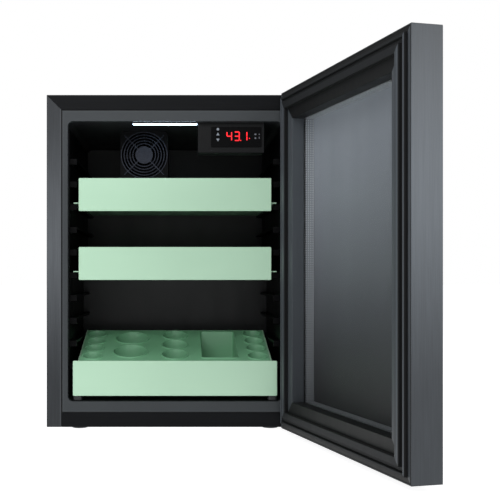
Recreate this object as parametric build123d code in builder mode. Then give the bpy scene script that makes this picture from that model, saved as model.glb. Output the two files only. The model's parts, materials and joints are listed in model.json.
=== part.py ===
"""Glass-door mini fridge with three pull-out trays, standing with its door open.

Millimetres. X runs to the right, Y to the rear and Z up. The origin lies on the floor under the
middle of the cabinet. The door and its pieces are drawn on planes that turn with the hinge.
"""
import os
from math import cos, radians, sin, tan

from build123d import *

os.makedirs("parts", exist_ok=True)

# ---------------------------------------------------------------- cabinet sizes
body_width = 483.0
body_height = 625.0
body_depth = 452.0
foot_height = 10.0
sheet = 1.0
profile_wall = 1.2
frame_band = 28.0
frame_band_low = 27.0
frame_depth = 14.0
breaker_step = 1.0
breaker_side = 11.5
breaker_top = 21.0
breaker_low = 21.0
cavity_corner = 10.0
liner_wall = 2.0
rear_insulation = 37.0
bay_depth = 172.0
hump_height = 326.0
bay_foam = 40.0

# ---------------------------------------------------------------- door sizes
door_thickness = 48.0
door_gap = 8.0
door_end_gap = 1.0
door_rest_angle = 104.3
pin_inset = 18.2
pin_forward = 30.0
pin_radius = 4.0
pin_length = 7.5
pin_head = 1.0
pin_head_overlap = 2.0
pin_clearance = 0.05
bush_wall = 2.0
bush_length = 9.0
bush_flange_overlap = 2.0
bush_flange = 0.7
hinge_plate = 3.0
hinge_width = 38.0
hinge_length = 56.0
hinge_margin = 1.5
hinge_back = 4.0
door_wall = 2.0
door_band = 40.0
door_web_inset = 6.0
glass_play = 2.0
outer_pane = 4.0
inner_pane = 4.0
pane_gap = 15.0
spacer_width = 9.0
spacer_show = 1.0
inner_plate = 4.0
reveal_inset = 55.0
reveal_wall = 2.0
plate_clearance = 0.2
gasket_outer = 10.0
gasket_lip = 5.0
gasket_lip_height = 5.5
gasket_bulb = 12.0
gasket_inner = 34.0
gasket_base = 1.5
gasket_play = 0.4
gasket_skin = 1.2
gasket_barb = 3.6
barb_depth = 2.4
magnet_clearance = 0.2

# ---------------------------------------------------------------- tray sizes
tray_travel_clearance = 0.3
ledge_reach = 15.0
ledge_thickness = 4.0
ledge_pitch = 43.3
ledge_first = 118.3
ledge_head_room = 40.0
ledge_hook = 12.0
ledge_hook_width = 6.0
rack_wall = 1.5
rack_front = 20.0
rack_margin = 12.0
tray_sheet = 2.0
panel_sheet = 3.0
panel_corner = 2.0
panel_round = 0.8
panel_setback = 2.0
panel_margin = 20.5
panel_height = 62.0
tray_margin = 26.0
tray_back_height = 44.0
flange_reach = 5.5
flange_clearance = 0.2
flange_above_base = 14.8
flange_start = 12.0
flange_corner = 6.0
top_tray_gap = 30.0
middle_tray_gap = 12.0
tray_head_room = 2.0
ledges_between_trays = 3
low_panel_margin = 9.5
low_panel_height = 66.0
low_tray_margin = 19.0
low_tray_lift = 10.4
deck_slope = 15.0
deck_thickness = 3.0
deck_play = 0.3
cup_wall = 2.0
rim_height = 1.5
cup_edge = 2.7
deck_end = 7.6
small_cup = 18.0
small_gap = 1.7
small_count = 4
medium_cup = 24.8
medium_gap = 1.4
medium_count = 3
big_cup = 33.3
big_gap = 5.4
big_count = 2
big_offset = 86.0
tub_width = 69.5
tub_end = 26.4
tub_offset = 86.0
tub_corner = 5.0
glide_width = 17.0
glide_length = 24.0
glide_corner = 4.0
glide_outward = 1.5

# ---------------------------------------------------------------- interior fittings
coil_space = 35.0
cover_sheet = 2.0
cover_play = 1.5
fan_x = -62.0
fan_depth = 116.0
fan_hole_play = 2.5
shroud_play = 3.0
shroud_wall = 3.0
shroud_front = 5.0
shroud_gap = 0.5
rotor_radius = 42.0
rotor_hub = 17.0
rotor_depth = 15.0
rotor_gap = 2.0
blade_count = 7
blade_width = 17.0
blade_thickness = 1.6
blade_pitch = 38.0
shaft_radius = 1.5
shaft_clearance = 0.05
shaft_length = 4.0
motor_radius = 15.0
motor_depth = 5.0
strut_width = 6.0
guard_wire = 0.8
guard_overlap = 4.0
guard_pitch = 5.8
guard_count = 5
guard_hub_overlap = 0.5
guard_bar_overlap = 14.0
vent_count = 14
vent_length = 18.0
vent_height = 4.0
vent_pitch = 26.0
vent_above = 16.0
coil_width = 330.0
coil_height = 92.0
coil_tube = 4.0
coil_rows = 4
fin_count = 44
fin_sheet = 0.6
fitting_setback = 16.0
light_left = -81.0
light_end_gap = 0.7
light_width = 11.0
light_housing_height = 2.2
light_lens_height = 1.2
light_rim = 1.0
box_left = 43.7
box_width = 125.3
box_height = 57.7
box_depth = 40.0
box_wall = 2.0
window_inset = 24.7
window_width = 96.3
window_height = 39.0
window_top_margin = 8.6
window_sheet = 2.0
window_proud = 0.4
window_corner = 1.5
digit_height = 18.0
digit_width = 10.6
digit_bar = 1.9
digit_bar_gap = 0.4
digit_relief = 0.5
digit_first = 34.7
digit_pitch = 14.55
digit_values = (4, 3, 1)
digit_below_top = 17.7
icon_size = 3.6
icon_inset = 12.0
button_inset = 13.1
button_radius = 2.4
arrow_radius = 3.4
button_top_margin = 4.4
button_pitch = 9.8
button_proud = 0.5
button_flange = 4.4
button_flange_sheet = 1.0
button_clearance = 0.3
button_length = 6.0

# ---------------------------------------------------------------- machine bay
compressor_x = 112.0
compressor_radius = 50.0
compressor_height = 124.0
compressor_round = 20.0
compressor_seam = 2.5
mount_plate = 3.0
mount_length = 150.0
mount_width = 96.0
mount_hole_x = 126.0
mount_hole_y = 72.0
grommet_radius = 9.0
grommet_height = 12.0
grommet_bore = 4.0
terminal_width = 42.0
terminal_height = 46.0
terminal_depth = 24.0
tube_radius = 3.0
condenser_left = -222.0
condenser_right = -26.0
condenser_rows = 11
condenser_pitch = 22.0
condenser_low = 32.0
condenser_tube = 2.6
condenser_rear_gap = 20.0
drier_radius = 9.0
drier_length = 96.0
drier_x = 12.0
pan_width = 168.0
pan_length = 78.0
pan_height = 30.0
pan_wall = 2.0
grille_play = 1.5
slot_length = 92.0
slot_height = 6.0
slot_rows = 11
slot_pitch = 20.0
slot_columns = 4
slot_column_pitch = 108.0
gland_radius = 8.0
gland_bore = 3.6
gland_flange = 11.0
gland_proud = 3.0
gland_x = -200.0
gland_above = 16.0

# ---------------------------------------------------------------- fasteners and feet
screw_radius = 2.0
screw_head = 4.0
screw_head_height = 2.0
screw_length = 9.0
screw_clearance = 0.1
screw_side_margin = 16.0
foot_inset_x = 56.5
foot_inset_front = 62.0
foot_inset_rear = 46.0
foot_radius = 16.0
foot_disc = 8.0
stud_radius = 4.0
stud_length = 34.0
stud_clearance = 0.05
collar_radius = 8.0
collar_height = 8.0
rear_foot_radius = 15.0

# ---------------------------------------------------------------- places worked out from the sizes
half_width = body_width / 2
front_y = -body_depth / 2
rear_y = body_depth / 2
base_z = foot_height
top_z = foot_height + body_height
inner_half = half_width - sheet
foam_front = front_y + frame_depth
cavity_half = half_width - frame_band - breaker_side
cavity_floor = base_z + frame_band_low + breaker_low
cavity_ceiling = top_z - frame_band - breaker_top
cavity_back = rear_y - rear_insulation
hump_y = rear_y - bay_depth
hump_top = base_z + hump_height
bay_front = hump_y + liner_wall + bay_foam
bay_top = hump_top - liner_wall - bay_foam
cover_front = cavity_back - coil_space
fan_hole = rotor_radius + fan_hole_play
shroud_size = 2 * (rotor_radius + shroud_play + shroud_wall)
fan_z = cavity_ceiling - shroud_gap - shroud_size / 2
fan_front = front_y + fan_depth
guard_bar = 2 * (rotor_radius + guard_bar_overlap)
fitting_front = front_y + fitting_setback
light_length = box_left - light_end_gap - light_left
window_left = box_left + window_inset
button_x = window_left + button_inset
digit_centres = [window_left + digit_first + place * digit_pitch for place in range(3)]
ledge_base = base_z + ledge_first
ledge_count = int((cavity_ceiling - ledge_head_room - ledge_base) / ledge_pitch) + 1
panel_rise = panel_height - flange_above_base + flange_clearance
tray_ceiling = fan_z - shroud_size / 2 - tray_head_room
top_ledge = int((tray_ceiling - panel_rise - ledge_base) / ledge_pitch)
middle_ledge = top_ledge - ledges_between_trays
top_tray_depth = cover_front - front_y - top_tray_gap
middle_tray_depth = hump_y - front_y - middle_tray_gap
panel_width = 2 * (cavity_half - panel_margin)
tray_width = 2 * (cavity_half - tray_margin)
low_panel_width = 2 * (cavity_half - low_panel_margin)
low_tray_width = 2 * (cavity_half - low_tray_margin)
small_pitch = 2 * (small_cup + cup_wall) + small_gap
medium_pitch = 2 * (medium_cup + cup_wall) + medium_gap
big_pitch = 2 * (big_cup + cup_wall) + big_gap
deck_length = max(small_count * small_pitch, medium_count * medium_pitch, big_count * big_pitch) + deck_end
deck_half = low_tray_width / 2 - tray_sheet - deck_play
small_offset = deck_half - cup_edge - cup_wall - small_cup
tub_length = deck_length - tub_end
low_tray_depth = panel_setback + panel_sheet + deck_length + 2 * deck_play + tray_sheet
bush_radius = pin_radius + bush_wall
bush_flange_radius = bush_radius + bush_flange_overlap
pin_head_radius = pin_radius + pin_head_overlap
door_web = door_band - door_web_inset
glass_inset = door_web + door_wall + glass_play
pin_x = half_width - pin_inset
pin_y = front_y - pin_forward
door_low = base_z + door_end_gap
door_high = top_z - door_end_gap
door_height = door_high - door_low
door_middle = (door_low + door_high) / 2
door_outer_face = -(door_gap + door_thickness - pin_forward)
door_inner_face = pin_forward - door_gap
pane_front = door_outer_face + door_wall
gap_front = pane_front + outer_pane
inner_pane_front = gap_front + pane_gap
inner_pane_rear = inner_pane_front + inner_pane
plate_front = door_inner_face - inner_plate


def face(y):
    """Plane that faces the user at a depth, drawn with X to the right and Z up."""
    return Plane(origin=(0, y, 0), x_dir=(1, 0, 0), z_dir=(0, -1, 0))


def side(x):
    """Plane that faces right, drawn with Y to the right and Z up."""
    return Plane(origin=(x, 0, 0), x_dir=(0, 1, 0), z_dir=(1, 0, 0))


def level(z):
    """Plane that faces up at a height."""
    return Plane.XY.offset(z)


def door_face(depth):
    """Plane across the open door, drawn with the door's width to the right and Z up.

    The drawing's zero is the hinge pin, and depth grows towards the inside of the door.
    """
    swing = radians(180 + door_rest_angle)
    width_way = (cos(swing), sin(swing), 0)
    inward = (sin(swing), -cos(swing), 0)
    return Plane(origin=(pin_x, pin_y, 0), x_dir=width_way, z_dir=inward).offset(depth)


def block(x, y, z, mode=Mode.ADD):
    """Box between two X, two Y and two Z values, in the part being built."""
    middle = ((x[0] + x[1]) / 2, (y[0] + y[1]) / 2, (z[0] + z[1]) / 2)
    with Locations(middle):
        Box(x[1] - x[0], y[1] - y[0], z[1] - z[0], mode=mode)


def upright_strip(sign, near, far):
    """Corners of a strip of a cabinet upright between two insets, mitred at its top end."""
    return [
        (sign * (half_width - near), base_z),
        (sign * (half_width - far), base_z),
        (sign * (half_width - far), top_z - far),
        (sign * (half_width - near), top_z - near),
    ]


def header_strip(sign, near, far):
    """Corners of a strip of the cabinet's top rail between two insets, mitred at both ends."""
    return [
        (-half_width + near, top_z - near),
        (half_width - near, top_z - near),
        (half_width - far, top_z - far),
        (-half_width + far, top_z - far),
    ]


def door_strip(where, near, far):
    """Corners of one mitred side of the door's frame between two insets from its edges."""
    left, right = -pin_inset, body_width - pin_inset
    near_box = [
        (left + near, door_low + near),
        (right - near, door_low + near),
        (right - near, door_high - near),
        (left + near, door_high - near),
    ]
    far_box = [
        (left + far, door_low + far),
        (right - far, door_low + far),
        (right - far, door_high - far),
        (left + far, door_high - far),
    ]
    first = ("bottom", "free", "top", "hinge").index(where)
    second = (first + 1) % 4
    return [near_box[first], near_box[second], far_box[second], far_box[first]]


def door_ring(near, far):
    """A flat ring of the door between two insets, as a sketch on the door's own plane."""
    middle = (body_width / 2 - pin_inset, door_middle)
    with Locations(middle):
        Rectangle(body_width - 2 * near, door_height - 2 * near)
        Rectangle(body_width - 2 * far, door_height - 2 * far, mode=Mode.SUBTRACT)


def cavity_block(grow):
    """The cold cavity as a solid, grown outwards on every side but its open front."""
    with BuildPart() as hollow:
        with BuildSketch(side(-cavity_half - grow)):
            Polygon(
                (foam_front, cavity_floor - grow),
                (hump_y + grow, cavity_floor - grow),
                (hump_y + grow, hump_top - grow),
                (cavity_back + grow, hump_top - grow),
                (cavity_back + grow, cavity_ceiling + grow),
                (foam_front, cavity_ceiling + grow),
                align=None,
            )
        extrude(amount=2 * (cavity_half + grow))
        lengthwise = hollow.edges().filter_by(Axis.Y)
        fillet(lengthwise.group_by(Axis.Z)[0], radius=cavity_corner + grow)
        fillet(hollow.edges().filter_by(Axis.Y).group_by(Axis.Z)[-1], radius=cavity_corner + grow)
    return hollow.part


def ledge_top(number):
    """Height of the upper face of a rack ledge, counted from the lowest."""
    return ledge_base + number * ledge_pitch


# Screws: three in each hinge plate, and eight round the rear panels.
hinge_middle = (half_width - hinge_margin - hinge_width / 2, front_y + hinge_back + hinge_length / 2)
hinge_screw_spots = [
    (hinge_middle[0] - hinge_width / 4, hinge_middle[1] - screw_side_margin / 2),
    (hinge_middle[0] + hinge_width / 4, hinge_middle[1] - screw_side_margin / 2),
    (hinge_middle[0], hinge_middle[1] + screw_side_margin),
]
panel_low = bay_top + sheet
rear_screw_spots = [
    (sign * (half_width - screw_side_margin), z)
    for sign in (-1, 1)
    for z in (panel_low + screw_side_margin, top_z - screw_side_margin)
]
grille_screw_spots = [
    (sign * (half_width - screw_side_margin), z)
    for sign in (-1, 1)
    for z in (base_z + screw_side_margin, bay_top - screw_side_margin)
]
front_foot_spots = [(sign * (half_width - foot_inset_x), front_y + foot_inset_front) for sign in (-1, 1)]
rear_foot_spots = [(sign * (half_width - foot_inset_x), rear_y - foot_inset_rear) for sign in (-1, 1)]

# ---------------------------------------------------------------- cabinet outside
with BuildPart() as shell:
    with BuildSketch(face(foam_front)):
        Polygon(
            (-half_width, base_z),
            (-half_width, top_z),
            (half_width, top_z),
            (half_width, base_z),
            (inner_half, base_z),
            (inner_half, top_z - sheet),
            (-inner_half, top_z - sheet),
            (-inner_half, base_z),
            align=None,
        )
    extrude(amount=-(rear_y - foam_front))
    with Locations(*[(x, y, top_z) for x, y in hinge_screw_spots]):
        Hole(screw_radius + screw_clearance, depth=sheet)
shell.part.label = "cabinet_shell"
export_step(shell.part, "parts/cabinet_shell.step")

for label, strip, sign in (
    ("front_stile_left", upright_strip, -1),
    ("front_stile_right", upright_strip, 1),
    ("front_rail_top", header_strip, 1),
):
    with BuildPart() as member:
        with BuildSketch(face(front_y)):
            Polygon(*strip(sign, 0, frame_band), align=None)
        extrude(amount=-profile_wall)
        with BuildSketch(face(front_y)):
            Polygon(*strip(sign, 0, profile_wall), align=None)
            Polygon(*strip(sign, frame_band - profile_wall, frame_band), align=None)
        extrude(amount=-frame_depth)
    member.part.label = label
    export_step(member.part, f"parts/{label}.step")

rail_half = half_width - frame_band
with BuildPart() as low_rail:
    block((-rail_half, rail_half), (front_y, foam_front), (base_z, base_z + frame_band_low))
    block(
        (-rail_half, rail_half),
        (front_y + profile_wall, foam_front),
        (base_z + profile_wall, base_z + frame_band_low - profile_wall),
        mode=Mode.SUBTRACT,
    )
low_rail.part.label = "front_rail_bottom"
export_step(low_rail.part, "parts/front_rail_bottom.step")

with BuildPart() as breaker:
    outer_low = base_z + frame_band_low
    outer_high = top_z - frame_band
    with BuildSketch(face(front_y + breaker_step)):
        with Locations((0, (outer_low + outer_high) / 2)):
            Rectangle(2 * rail_half, outer_high - outer_low)
        with Locations((0, (cavity_floor + cavity_ceiling) / 2)):
            RectangleRounded(
                2 * cavity_half, cavity_ceiling - cavity_floor, cavity_corner, mode=Mode.SUBTRACT
            )
    extrude(amount=-(frame_depth - breaker_step))
breaker.part.label = "breaker_frame"
export_step(breaker.part, "parts/breaker_frame.step")

with BuildPart() as base:
    block((-inner_half, inner_half), (foam_front, rear_y - sheet), (base_z, base_z + sheet))
    with BuildSketch(level(base_z + sheet)):
        with Locations(*front_foot_spots):
            Circle(collar_radius)
    extrude(amount=collar_height)
    with BuildSketch(level(base_z)):
        with Locations(*front_foot_spots):
            Circle(stud_radius + stud_clearance)
        with Locations(*hinge_screw_spots):
            Circle(screw_radius + screw_clearance)
    extrude(amount=sheet + collar_height, mode=Mode.SUBTRACT)
base.part.label = "base_pan"
export_step(base.part, "parts/base_pan.step")

with BuildPart() as liner:
    add(cavity_block(liner_wall))
    add(cavity_block(0), mode=Mode.SUBTRACT)
liner.part.label = "inner_liner"
export_step(liner.part, "parts/inner_liner.step")

with BuildPart() as foam:
    block((-inner_half, inner_half), (foam_front, rear_y - sheet), (base_z + sheet, top_z - sheet))
    add(cavity_block(liner_wall), mode=Mode.SUBTRACT)
    block((-inner_half, inner_half), (bay_front, rear_y), (base_z, bay_top), mode=Mode.SUBTRACT)
    with BuildSketch(level(base_z + sheet)):
        with Locations(*front_foot_spots):
            Circle(collar_radius)
    extrude(amount=stud_length, mode=Mode.SUBTRACT)
    with BuildSketch(level(base_z + sheet)):
        with Locations(*hinge_screw_spots):
            Circle(screw_radius + screw_clearance)
    extrude(amount=screw_length, mode=Mode.SUBTRACT)
    with BuildSketch(level(top_z - sheet)):
        with Locations(*hinge_screw_spots):
            Circle(screw_radius + screw_clearance)
    extrude(amount=-screw_length, mode=Mode.SUBTRACT)
    with BuildSketch(face(rear_y - sheet)):
        with Locations(*rear_screw_spots):
            Circle(screw_radius + screw_clearance)
    extrude(amount=screw_length, mode=Mode.SUBTRACT)
foam.part.label = "insulation_foam"
export_step(foam.part, "parts/insulation_foam.step")

with BuildPart() as back:
    block((-inner_half, inner_half), (rear_y - sheet, rear_y), (panel_low, top_z - sheet))
    with BuildSketch(face(rear_y)):
        with Locations(*rear_screw_spots):
            Circle(screw_radius + screw_clearance)
    extrude(amount=sheet, mode=Mode.SUBTRACT)
back.part.label = "back_panel"
export_step(back.part, "parts/back_panel.step")

with BuildPart() as bay:
    block((-inner_half, inner_half), (bay_front, bay_front + sheet), (base_z + sheet, bay_top))
    block((-inner_half, inner_half), (bay_front, rear_y - sheet), (bay_top - sheet, bay_top))
bay.part.label = "machine_bay_lining"
export_step(bay.part, "parts/machine_bay_lining.step")

# ---------------------------------------------------------------- rear pieces
grille_low = base_z + sheet + grille_play
grille_high = panel_low - grille_play
grille_half = inner_half - grille_play
gland_z = base_z + gland_above
with BuildPart() as grille:
    block((-grille_half, grille_half), (rear_y - sheet, rear_y), (grille_low, grille_high))
    with BuildSketch(face(rear_y)):
        with Locations((0, (grille_low + grille_high) / 2)):
            with GridLocations(slot_column_pitch, slot_pitch, slot_columns, slot_rows):
                SlotOverall(slot_length, slot_height)
        with Locations(*grille_screw_spots):
            Circle(screw_radius + screw_clearance)
        with Locations((gland_x, gland_z)):
            Circle(gland_radius)
    extrude(amount=sheet, mode=Mode.SUBTRACT)
grille.part.label = "rear_grille"
export_step(grille.part, "parts/rear_grille.step")

with BuildPart() as rear_screws:
    spots = rear_screw_spots + grille_screw_spots
    with BuildSketch(face(rear_y + screw_head_height)):
        with Locations(*spots):
            Circle(screw_head)
    extrude(amount=-screw_head_height)
    fillet(rear_screws.edges().group_by(Axis.Y)[-1], radius=screw_head_height / 2)
    with BuildSketch(face(rear_y)):
        with Locations(*spots):
            Circle(screw_radius)
    extrude(amount=screw_length)
rear_screws.part.label = "rear_screws"
export_step(rear_screws.part, "parts/rear_screws.step")

with BuildPart() as gland:
    with BuildSketch(face(rear_y + gland_proud)):
        with Locations((gland_x, gland_z)):
            Circle(gland_flange)
    extrude(amount=gland_proud)
    fillet(gland.edges().group_by(Axis.Y)[-1], radius=gland_proud / 2)
    with BuildSketch(face(rear_y)):
        with Locations((gland_x, gland_z)):
            Circle(gland_radius)
    extrude(amount=2 * gland_proud)
    with BuildSketch(face(rear_y + gland_proud)):
        with Locations((gland_x, gland_z)):
            Circle(gland_bore)
    extrude(amount=4 * gland_proud, mode=Mode.SUBTRACT)
gland.part.label = "cord_gland"
export_step(gland.part, "parts/cord_gland.step")

# ---------------------------------------------------------------- machine bay pieces
compressor_y = (bay_front + sheet + rear_y - sheet) / 2
mount_z = base_z + sheet + grommet_height
with BuildPart() as compressor:
    with BuildSketch(level(mount_z)):
        with Locations((compressor_x, compressor_y)):
            RectangleRounded(mount_length, mount_width, 10)
            with GridLocations(mount_hole_x, mount_hole_y, 2, 2):
                Circle(grommet_bore + button_clearance, mode=Mode.SUBTRACT)
    extrude(amount=mount_plate)
    with BuildSketch(level(mount_z + mount_plate)):
        with Locations((compressor_x, compressor_y)):
            Circle(compressor_radius)
    extrude(amount=compressor_height)
    fillet(compressor.edges().group_by(Axis.Z)[-1], radius=compressor_round)
    with BuildSketch(level(mount_z + mount_plate + compressor_height / 2)):
        with Locations((compressor_x, compressor_y)):
            Circle(compressor_radius + compressor_seam)
    extrude(amount=compressor_seam)
compressor.part.label = "compressor"
export_step(compressor.part, "parts/compressor.step")

with BuildPart() as grommets:
    with BuildSketch(level(base_z + sheet)):
        with Locations((compressor_x, compressor_y)):
            with GridLocations(mount_hole_x, mount_hole_y, 2, 2):
                Circle(grommet_radius)
    extrude(amount=grommet_height)
    with BuildSketch(level(mount_z)):
        with Locations((compressor_x, compressor_y)):
            with GridLocations(mount_hole_x, mount_hole_y, 2, 2):
                Circle(grommet_bore)
    extrude(amount=mount_plate + grommet_bore)
grommets.part.label = "compressor_grommets"
export_step(grommets.part, "parts/compressor_grommets.step")

terminal_z = mount_z + mount_plate + terminal_height / 2 + grommet_bore
with BuildPart() as terminal:
    near_x = compressor_x - compressor_radius - compressor_seam
    block(
        (near_x - terminal_depth, near_x + compressor_radius / 4),
        (compressor_y - terminal_width / 2, compressor_y + terminal_width / 2),
        (terminal_z - terminal_height / 2, terminal_z + terminal_height / 2),
    )
    fillet(terminal.edges().group_by(Axis.X)[0], radius=grommet_bore)
    with Locations((compressor_x, compressor_y, terminal_z)):
        Cylinder(compressor_radius + compressor_seam, 2 * terminal_height, mode=Mode.SUBTRACT)
terminal.part.label = "terminal_cover"
export_step(terminal.part, "parts/terminal_cover.step")

condenser_y = rear_y - condenser_rear_gap
with BuildPart() as condenser:
    turns = []
    for row in range(condenser_rows):
        z = base_z + condenser_low + row * condenser_pitch
        ends = (condenser_left, condenser_right) if row % 2 else (condenser_right, condenser_left)
        turns += [(ends[0], condenser_y, z), (ends[1], condenser_y, z)]
    with BuildLine() as run:
        FilletPolyline(*turns, radius=condenser_pitch / 2 - 0.5)
    with BuildSketch(Plane(origin=turns[0], z_dir=(-1, 0, 0))):
        Circle(condenser_tube)
    sweep(path=run.wires()[0])
condenser.part.label = "condenser_coil"
export_step(condenser.part, "parts/condenser_coil.step")

dome_top = mount_z + mount_plate + compressor_height
condenser_high = base_z + condenser_low + (condenser_rows - 1) * condenser_pitch
with BuildPart() as pipes:
    start = (compressor_x - 18, compressor_y, dome_top)
    corner_z = dome_top + 34
    with BuildLine() as discharge:
        FilletPolyline(
            start,
            (start[0], start[1], corner_z),
            (start[0] - 60, start[1], corner_z),
            (start[0] - 60, start[1], bay_top - sheet),
            radius=12,
        )
    with BuildSketch(Plane(origin=start, z_dir=(0, 0, 1))):
        Circle(tube_radius)
    sweep(path=discharge.wires()[0])
    other = (compressor_x + 18, compressor_y, dome_top)
    with BuildLine() as suction:
        Line(other, (other[0], other[1], bay_top - sheet))
    with BuildSketch(Plane(origin=other, z_dir=(0, 0, 1))):
        Circle(tube_radius)
    sweep(path=suction.wires()[0])
pipes.part.label = "refrigerant_pipes"
export_step(pipes.part, "parts/refrigerant_pipes.step")

with BuildPart() as drier:
    with Locations((drier_x, compressor_y, base_z + sheet + drier_length)):
        Cylinder(drier_radius, drier_length)
    fillet(drier.edges(), radius=drier_radius * 0.8)
    with Locations((drier_x, compressor_y, base_z + sheet + drier_length)):
        Cylinder(tube_radius, drier_length * 1.5)
drier.part.label = "filter_drier"
export_step(drier.part, "parts/filter_drier.step")

pan_left = condenser_left + 6
pan_front = bay_front + sheet + 6
with BuildPart() as pan:
    block(
        (pan_left, pan_left + pan_width),
        (pan_front, pan_front + pan_length),
        (base_z + sheet, base_z + sheet + pan_height),
    )
    fillet(pan.edges().filter_by(Axis.Z), radius=3 * pan_wall)
    offset(amount=-pan_wall, openings=pan.faces().sort_by(Axis.Z)[-1])
pan.part.label = "drain_pan"
export_step(pan.part, "parts/drain_pan.step")

# ---------------------------------------------------------------- racks in the cavity
rack_rear_low = hump_y - cover_play
rack_rear_high = cover_front - cover_play
for name, sign in (("rack_left", -1), ("rack_right", 1)):
    with BuildPart() as rack:
        wall_x = sorted((sign * cavity_half, sign * (cavity_half - rack_wall)))
        ledge_x = sorted((sign * cavity_half, sign * (cavity_half - ledge_reach)))
        rack_front_y = front_y + rack_front
        block(wall_x, (rack_front_y, rack_rear_low), (cavity_floor + rack_margin, hump_top + rack_margin))
        block(wall_x, (rack_front_y, rack_rear_high), (hump_top + cover_play, cavity_ceiling - rack_margin))
        for number in range(ledge_count):
            top = ledge_top(number)
            rear = rack_rear_low if top - ledge_thickness < hump_top else rack_rear_high
            with BuildSketch(side(ledge_x[0])):
                with Locations(((rack_front_y + rear) / 2, top - ledge_thickness / 2)):
                    RectangleRounded(rear - rack_front_y, ledge_thickness, ledge_thickness * 0.45)
                with Locations((rack_front_y + ledge_hook_width / 2, top - ledge_hook / 2)):
                    RectangleRounded(ledge_hook_width, ledge_hook, ledge_thickness * 0.45)
            extrude(amount=ledge_reach)
    rack.part.label = name
    export_step(rack.part, f"parts/{name}.step")

# ---------------------------------------------------------------- evaporator and fan
cover_low = hump_top + cover_play
cover_high = cavity_ceiling - cover_play
cover_half = cavity_half - cover_play
cover_rear = cover_front + cover_sheet
with BuildPart() as cover:
    with BuildSketch(face(cover_front)):
        with Locations((0, (cover_low + cover_high) / 2)):
            RectangleRounded(2 * cover_half, cover_high - cover_low, cavity_corner)
        with Locations((fan_x, fan_z - shroud_gap)):
            Circle(rotor_radius, mode=Mode.SUBTRACT)
        with Locations((0, cover_low + vent_above)):
            with GridLocations(vent_pitch, vent_height, vent_count, 1):
                SlotOverall(vent_length, vent_height, mode=Mode.SUBTRACT)
    extrude(amount=-cover_sheet)
cover.part.label = "evaporator_cover"
export_step(cover.part, "parts/evaporator_cover.step")

coil_low = cover_low + vent_above
coil_y = (cover_rear + cavity_back) / 2
fin_depth = cavity_back - cover_rear - 2 * cover_play
with BuildPart() as coil:
    with Locations((0, coil_y, coil_low + coil_height / 2)):
        with GridLocations(coil_width / (fin_count - 1), 1, fin_count, 1):
            Box(fin_sheet, fin_depth, coil_height)
    with BuildSketch(side(-coil_width / 2)):
        with Locations((coil_y, coil_low + coil_height / 2)):
            with GridLocations(fin_depth / 2, coil_height / coil_rows, 2, coil_rows):
                Circle(coil_tube)
    extrude(amount=coil_width)
coil.part.label = "evaporator_coil"
export_step(coil.part, "parts/evaporator_coil.step")

with BuildPart() as shroud:
    with BuildSketch(face(fan_front)):
        with Locations((fan_x, fan_z)):
            RectangleRounded(shroud_size, shroud_size, cavity_corner)
    extrude(amount=-(cover_front - fan_front))
    with BuildSketch(face(fan_front + shroud_front)):
        with Locations((fan_x, fan_z)):
            RectangleRounded(
                shroud_size - 2 * shroud_wall, shroud_size - 2 * shroud_wall, cavity_corner - shroud_wall
            )
    extrude(amount=-(cover_front - fan_front), mode=Mode.SUBTRACT)
    with BuildSketch(face(fan_front)):
        with Locations((fan_x, fan_z)):
            Circle(fan_hole)
    extrude(amount=-shroud_front, mode=Mode.SUBTRACT)
shroud.part.label = "fan_shroud"
export_step(shroud.part, "parts/fan_shroud.step")

motor_front = fan_front + shroud_front + 2 * rotor_gap + rotor_depth
strut_reach = shroud_size - 2 * shroud_wall
with BuildPart() as motor:
    with BuildSketch(face(motor_front)):
        with Locations((fan_x, fan_z)):
            Circle(motor_radius)
            Rectangle(strut_reach, strut_width)
            Rectangle(strut_width, strut_reach)
            Circle(shaft_radius + shaft_clearance, mode=Mode.SUBTRACT)
    extrude(amount=-motor_depth)
motor.part.label = "fan_motor"
export_step(motor.part, "parts/fan_motor.step")

rotor_front = motor_front - rotor_gap - rotor_depth
rotor_middle = rotor_front + rotor_depth / 2
blade_reach = rotor_radius - rotor_hub + 2
with BuildPart() as rotor:
    with BuildSketch(face(rotor_front)):
        with Locations((fan_x, fan_z)):
            Circle(rotor_hub)
    extrude(amount=-rotor_depth)
    fillet(rotor.edges().group_by(Axis.Y)[0], radius=3)
    with Locations(Plane(origin=(fan_x, rotor_middle, fan_z), x_dir=(1, 0, 0), z_dir=(0, -1, 0))):
        with PolarLocations(rotor_hub - 2 + blade_reach / 2, blade_count):
            Box(blade_reach, blade_width, blade_thickness, rotation=(blade_pitch, 0, 0))
    with BuildSketch(face(rotor_front + rotor_depth)):
        with Locations((fan_x, fan_z)):
            Circle(shaft_radius)
    extrude(amount=-shaft_length)
rotor.part.label = "fan_rotor"
export_step(rotor.part, "parts/fan_rotor.step")

with BuildPart() as guard:
    with BuildSketch(face(fan_front - 2 * guard_wire)):
        with Locations((fan_x, fan_z)):
            for number in range(guard_count):
                ring = rotor_radius + guard_overlap - number * guard_pitch
                Circle(ring + guard_wire)
                Circle(ring - guard_wire, mode=Mode.SUBTRACT)
            Circle(rotor_hub + guard_hub_overlap)
    extrude(amount=-2 * guard_wire)
    with BuildSketch(face(fan_front - 3 * guard_wire)):
        with Locations((fan_x, fan_z)):
            for tilt in (45, 135):
                Rectangle(guard_bar, 2 * guard_wire, rotation=tilt)
            Circle(rotor_hub + guard_hub_overlap)
    extrude(amount=-2 * guard_wire)
guard.part.label = "fan_guard"
export_step(guard.part, "parts/fan_guard.step")

# ---------------------------------------------------------------- light and controls
light_x = (light_left, light_left + light_length)
light_y = (fitting_front, fitting_front + light_width)
lens_high = cavity_ceiling - light_housing_height
with BuildPart() as lamp:
    block(light_x, light_y, (lens_high, cavity_ceiling))
    fillet(lamp.edges().filter_by(Axis.Z), radius=2 * light_rim)
lamp.part.label = "light_housing"
export_step(lamp.part, "parts/light_housing.step")

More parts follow.
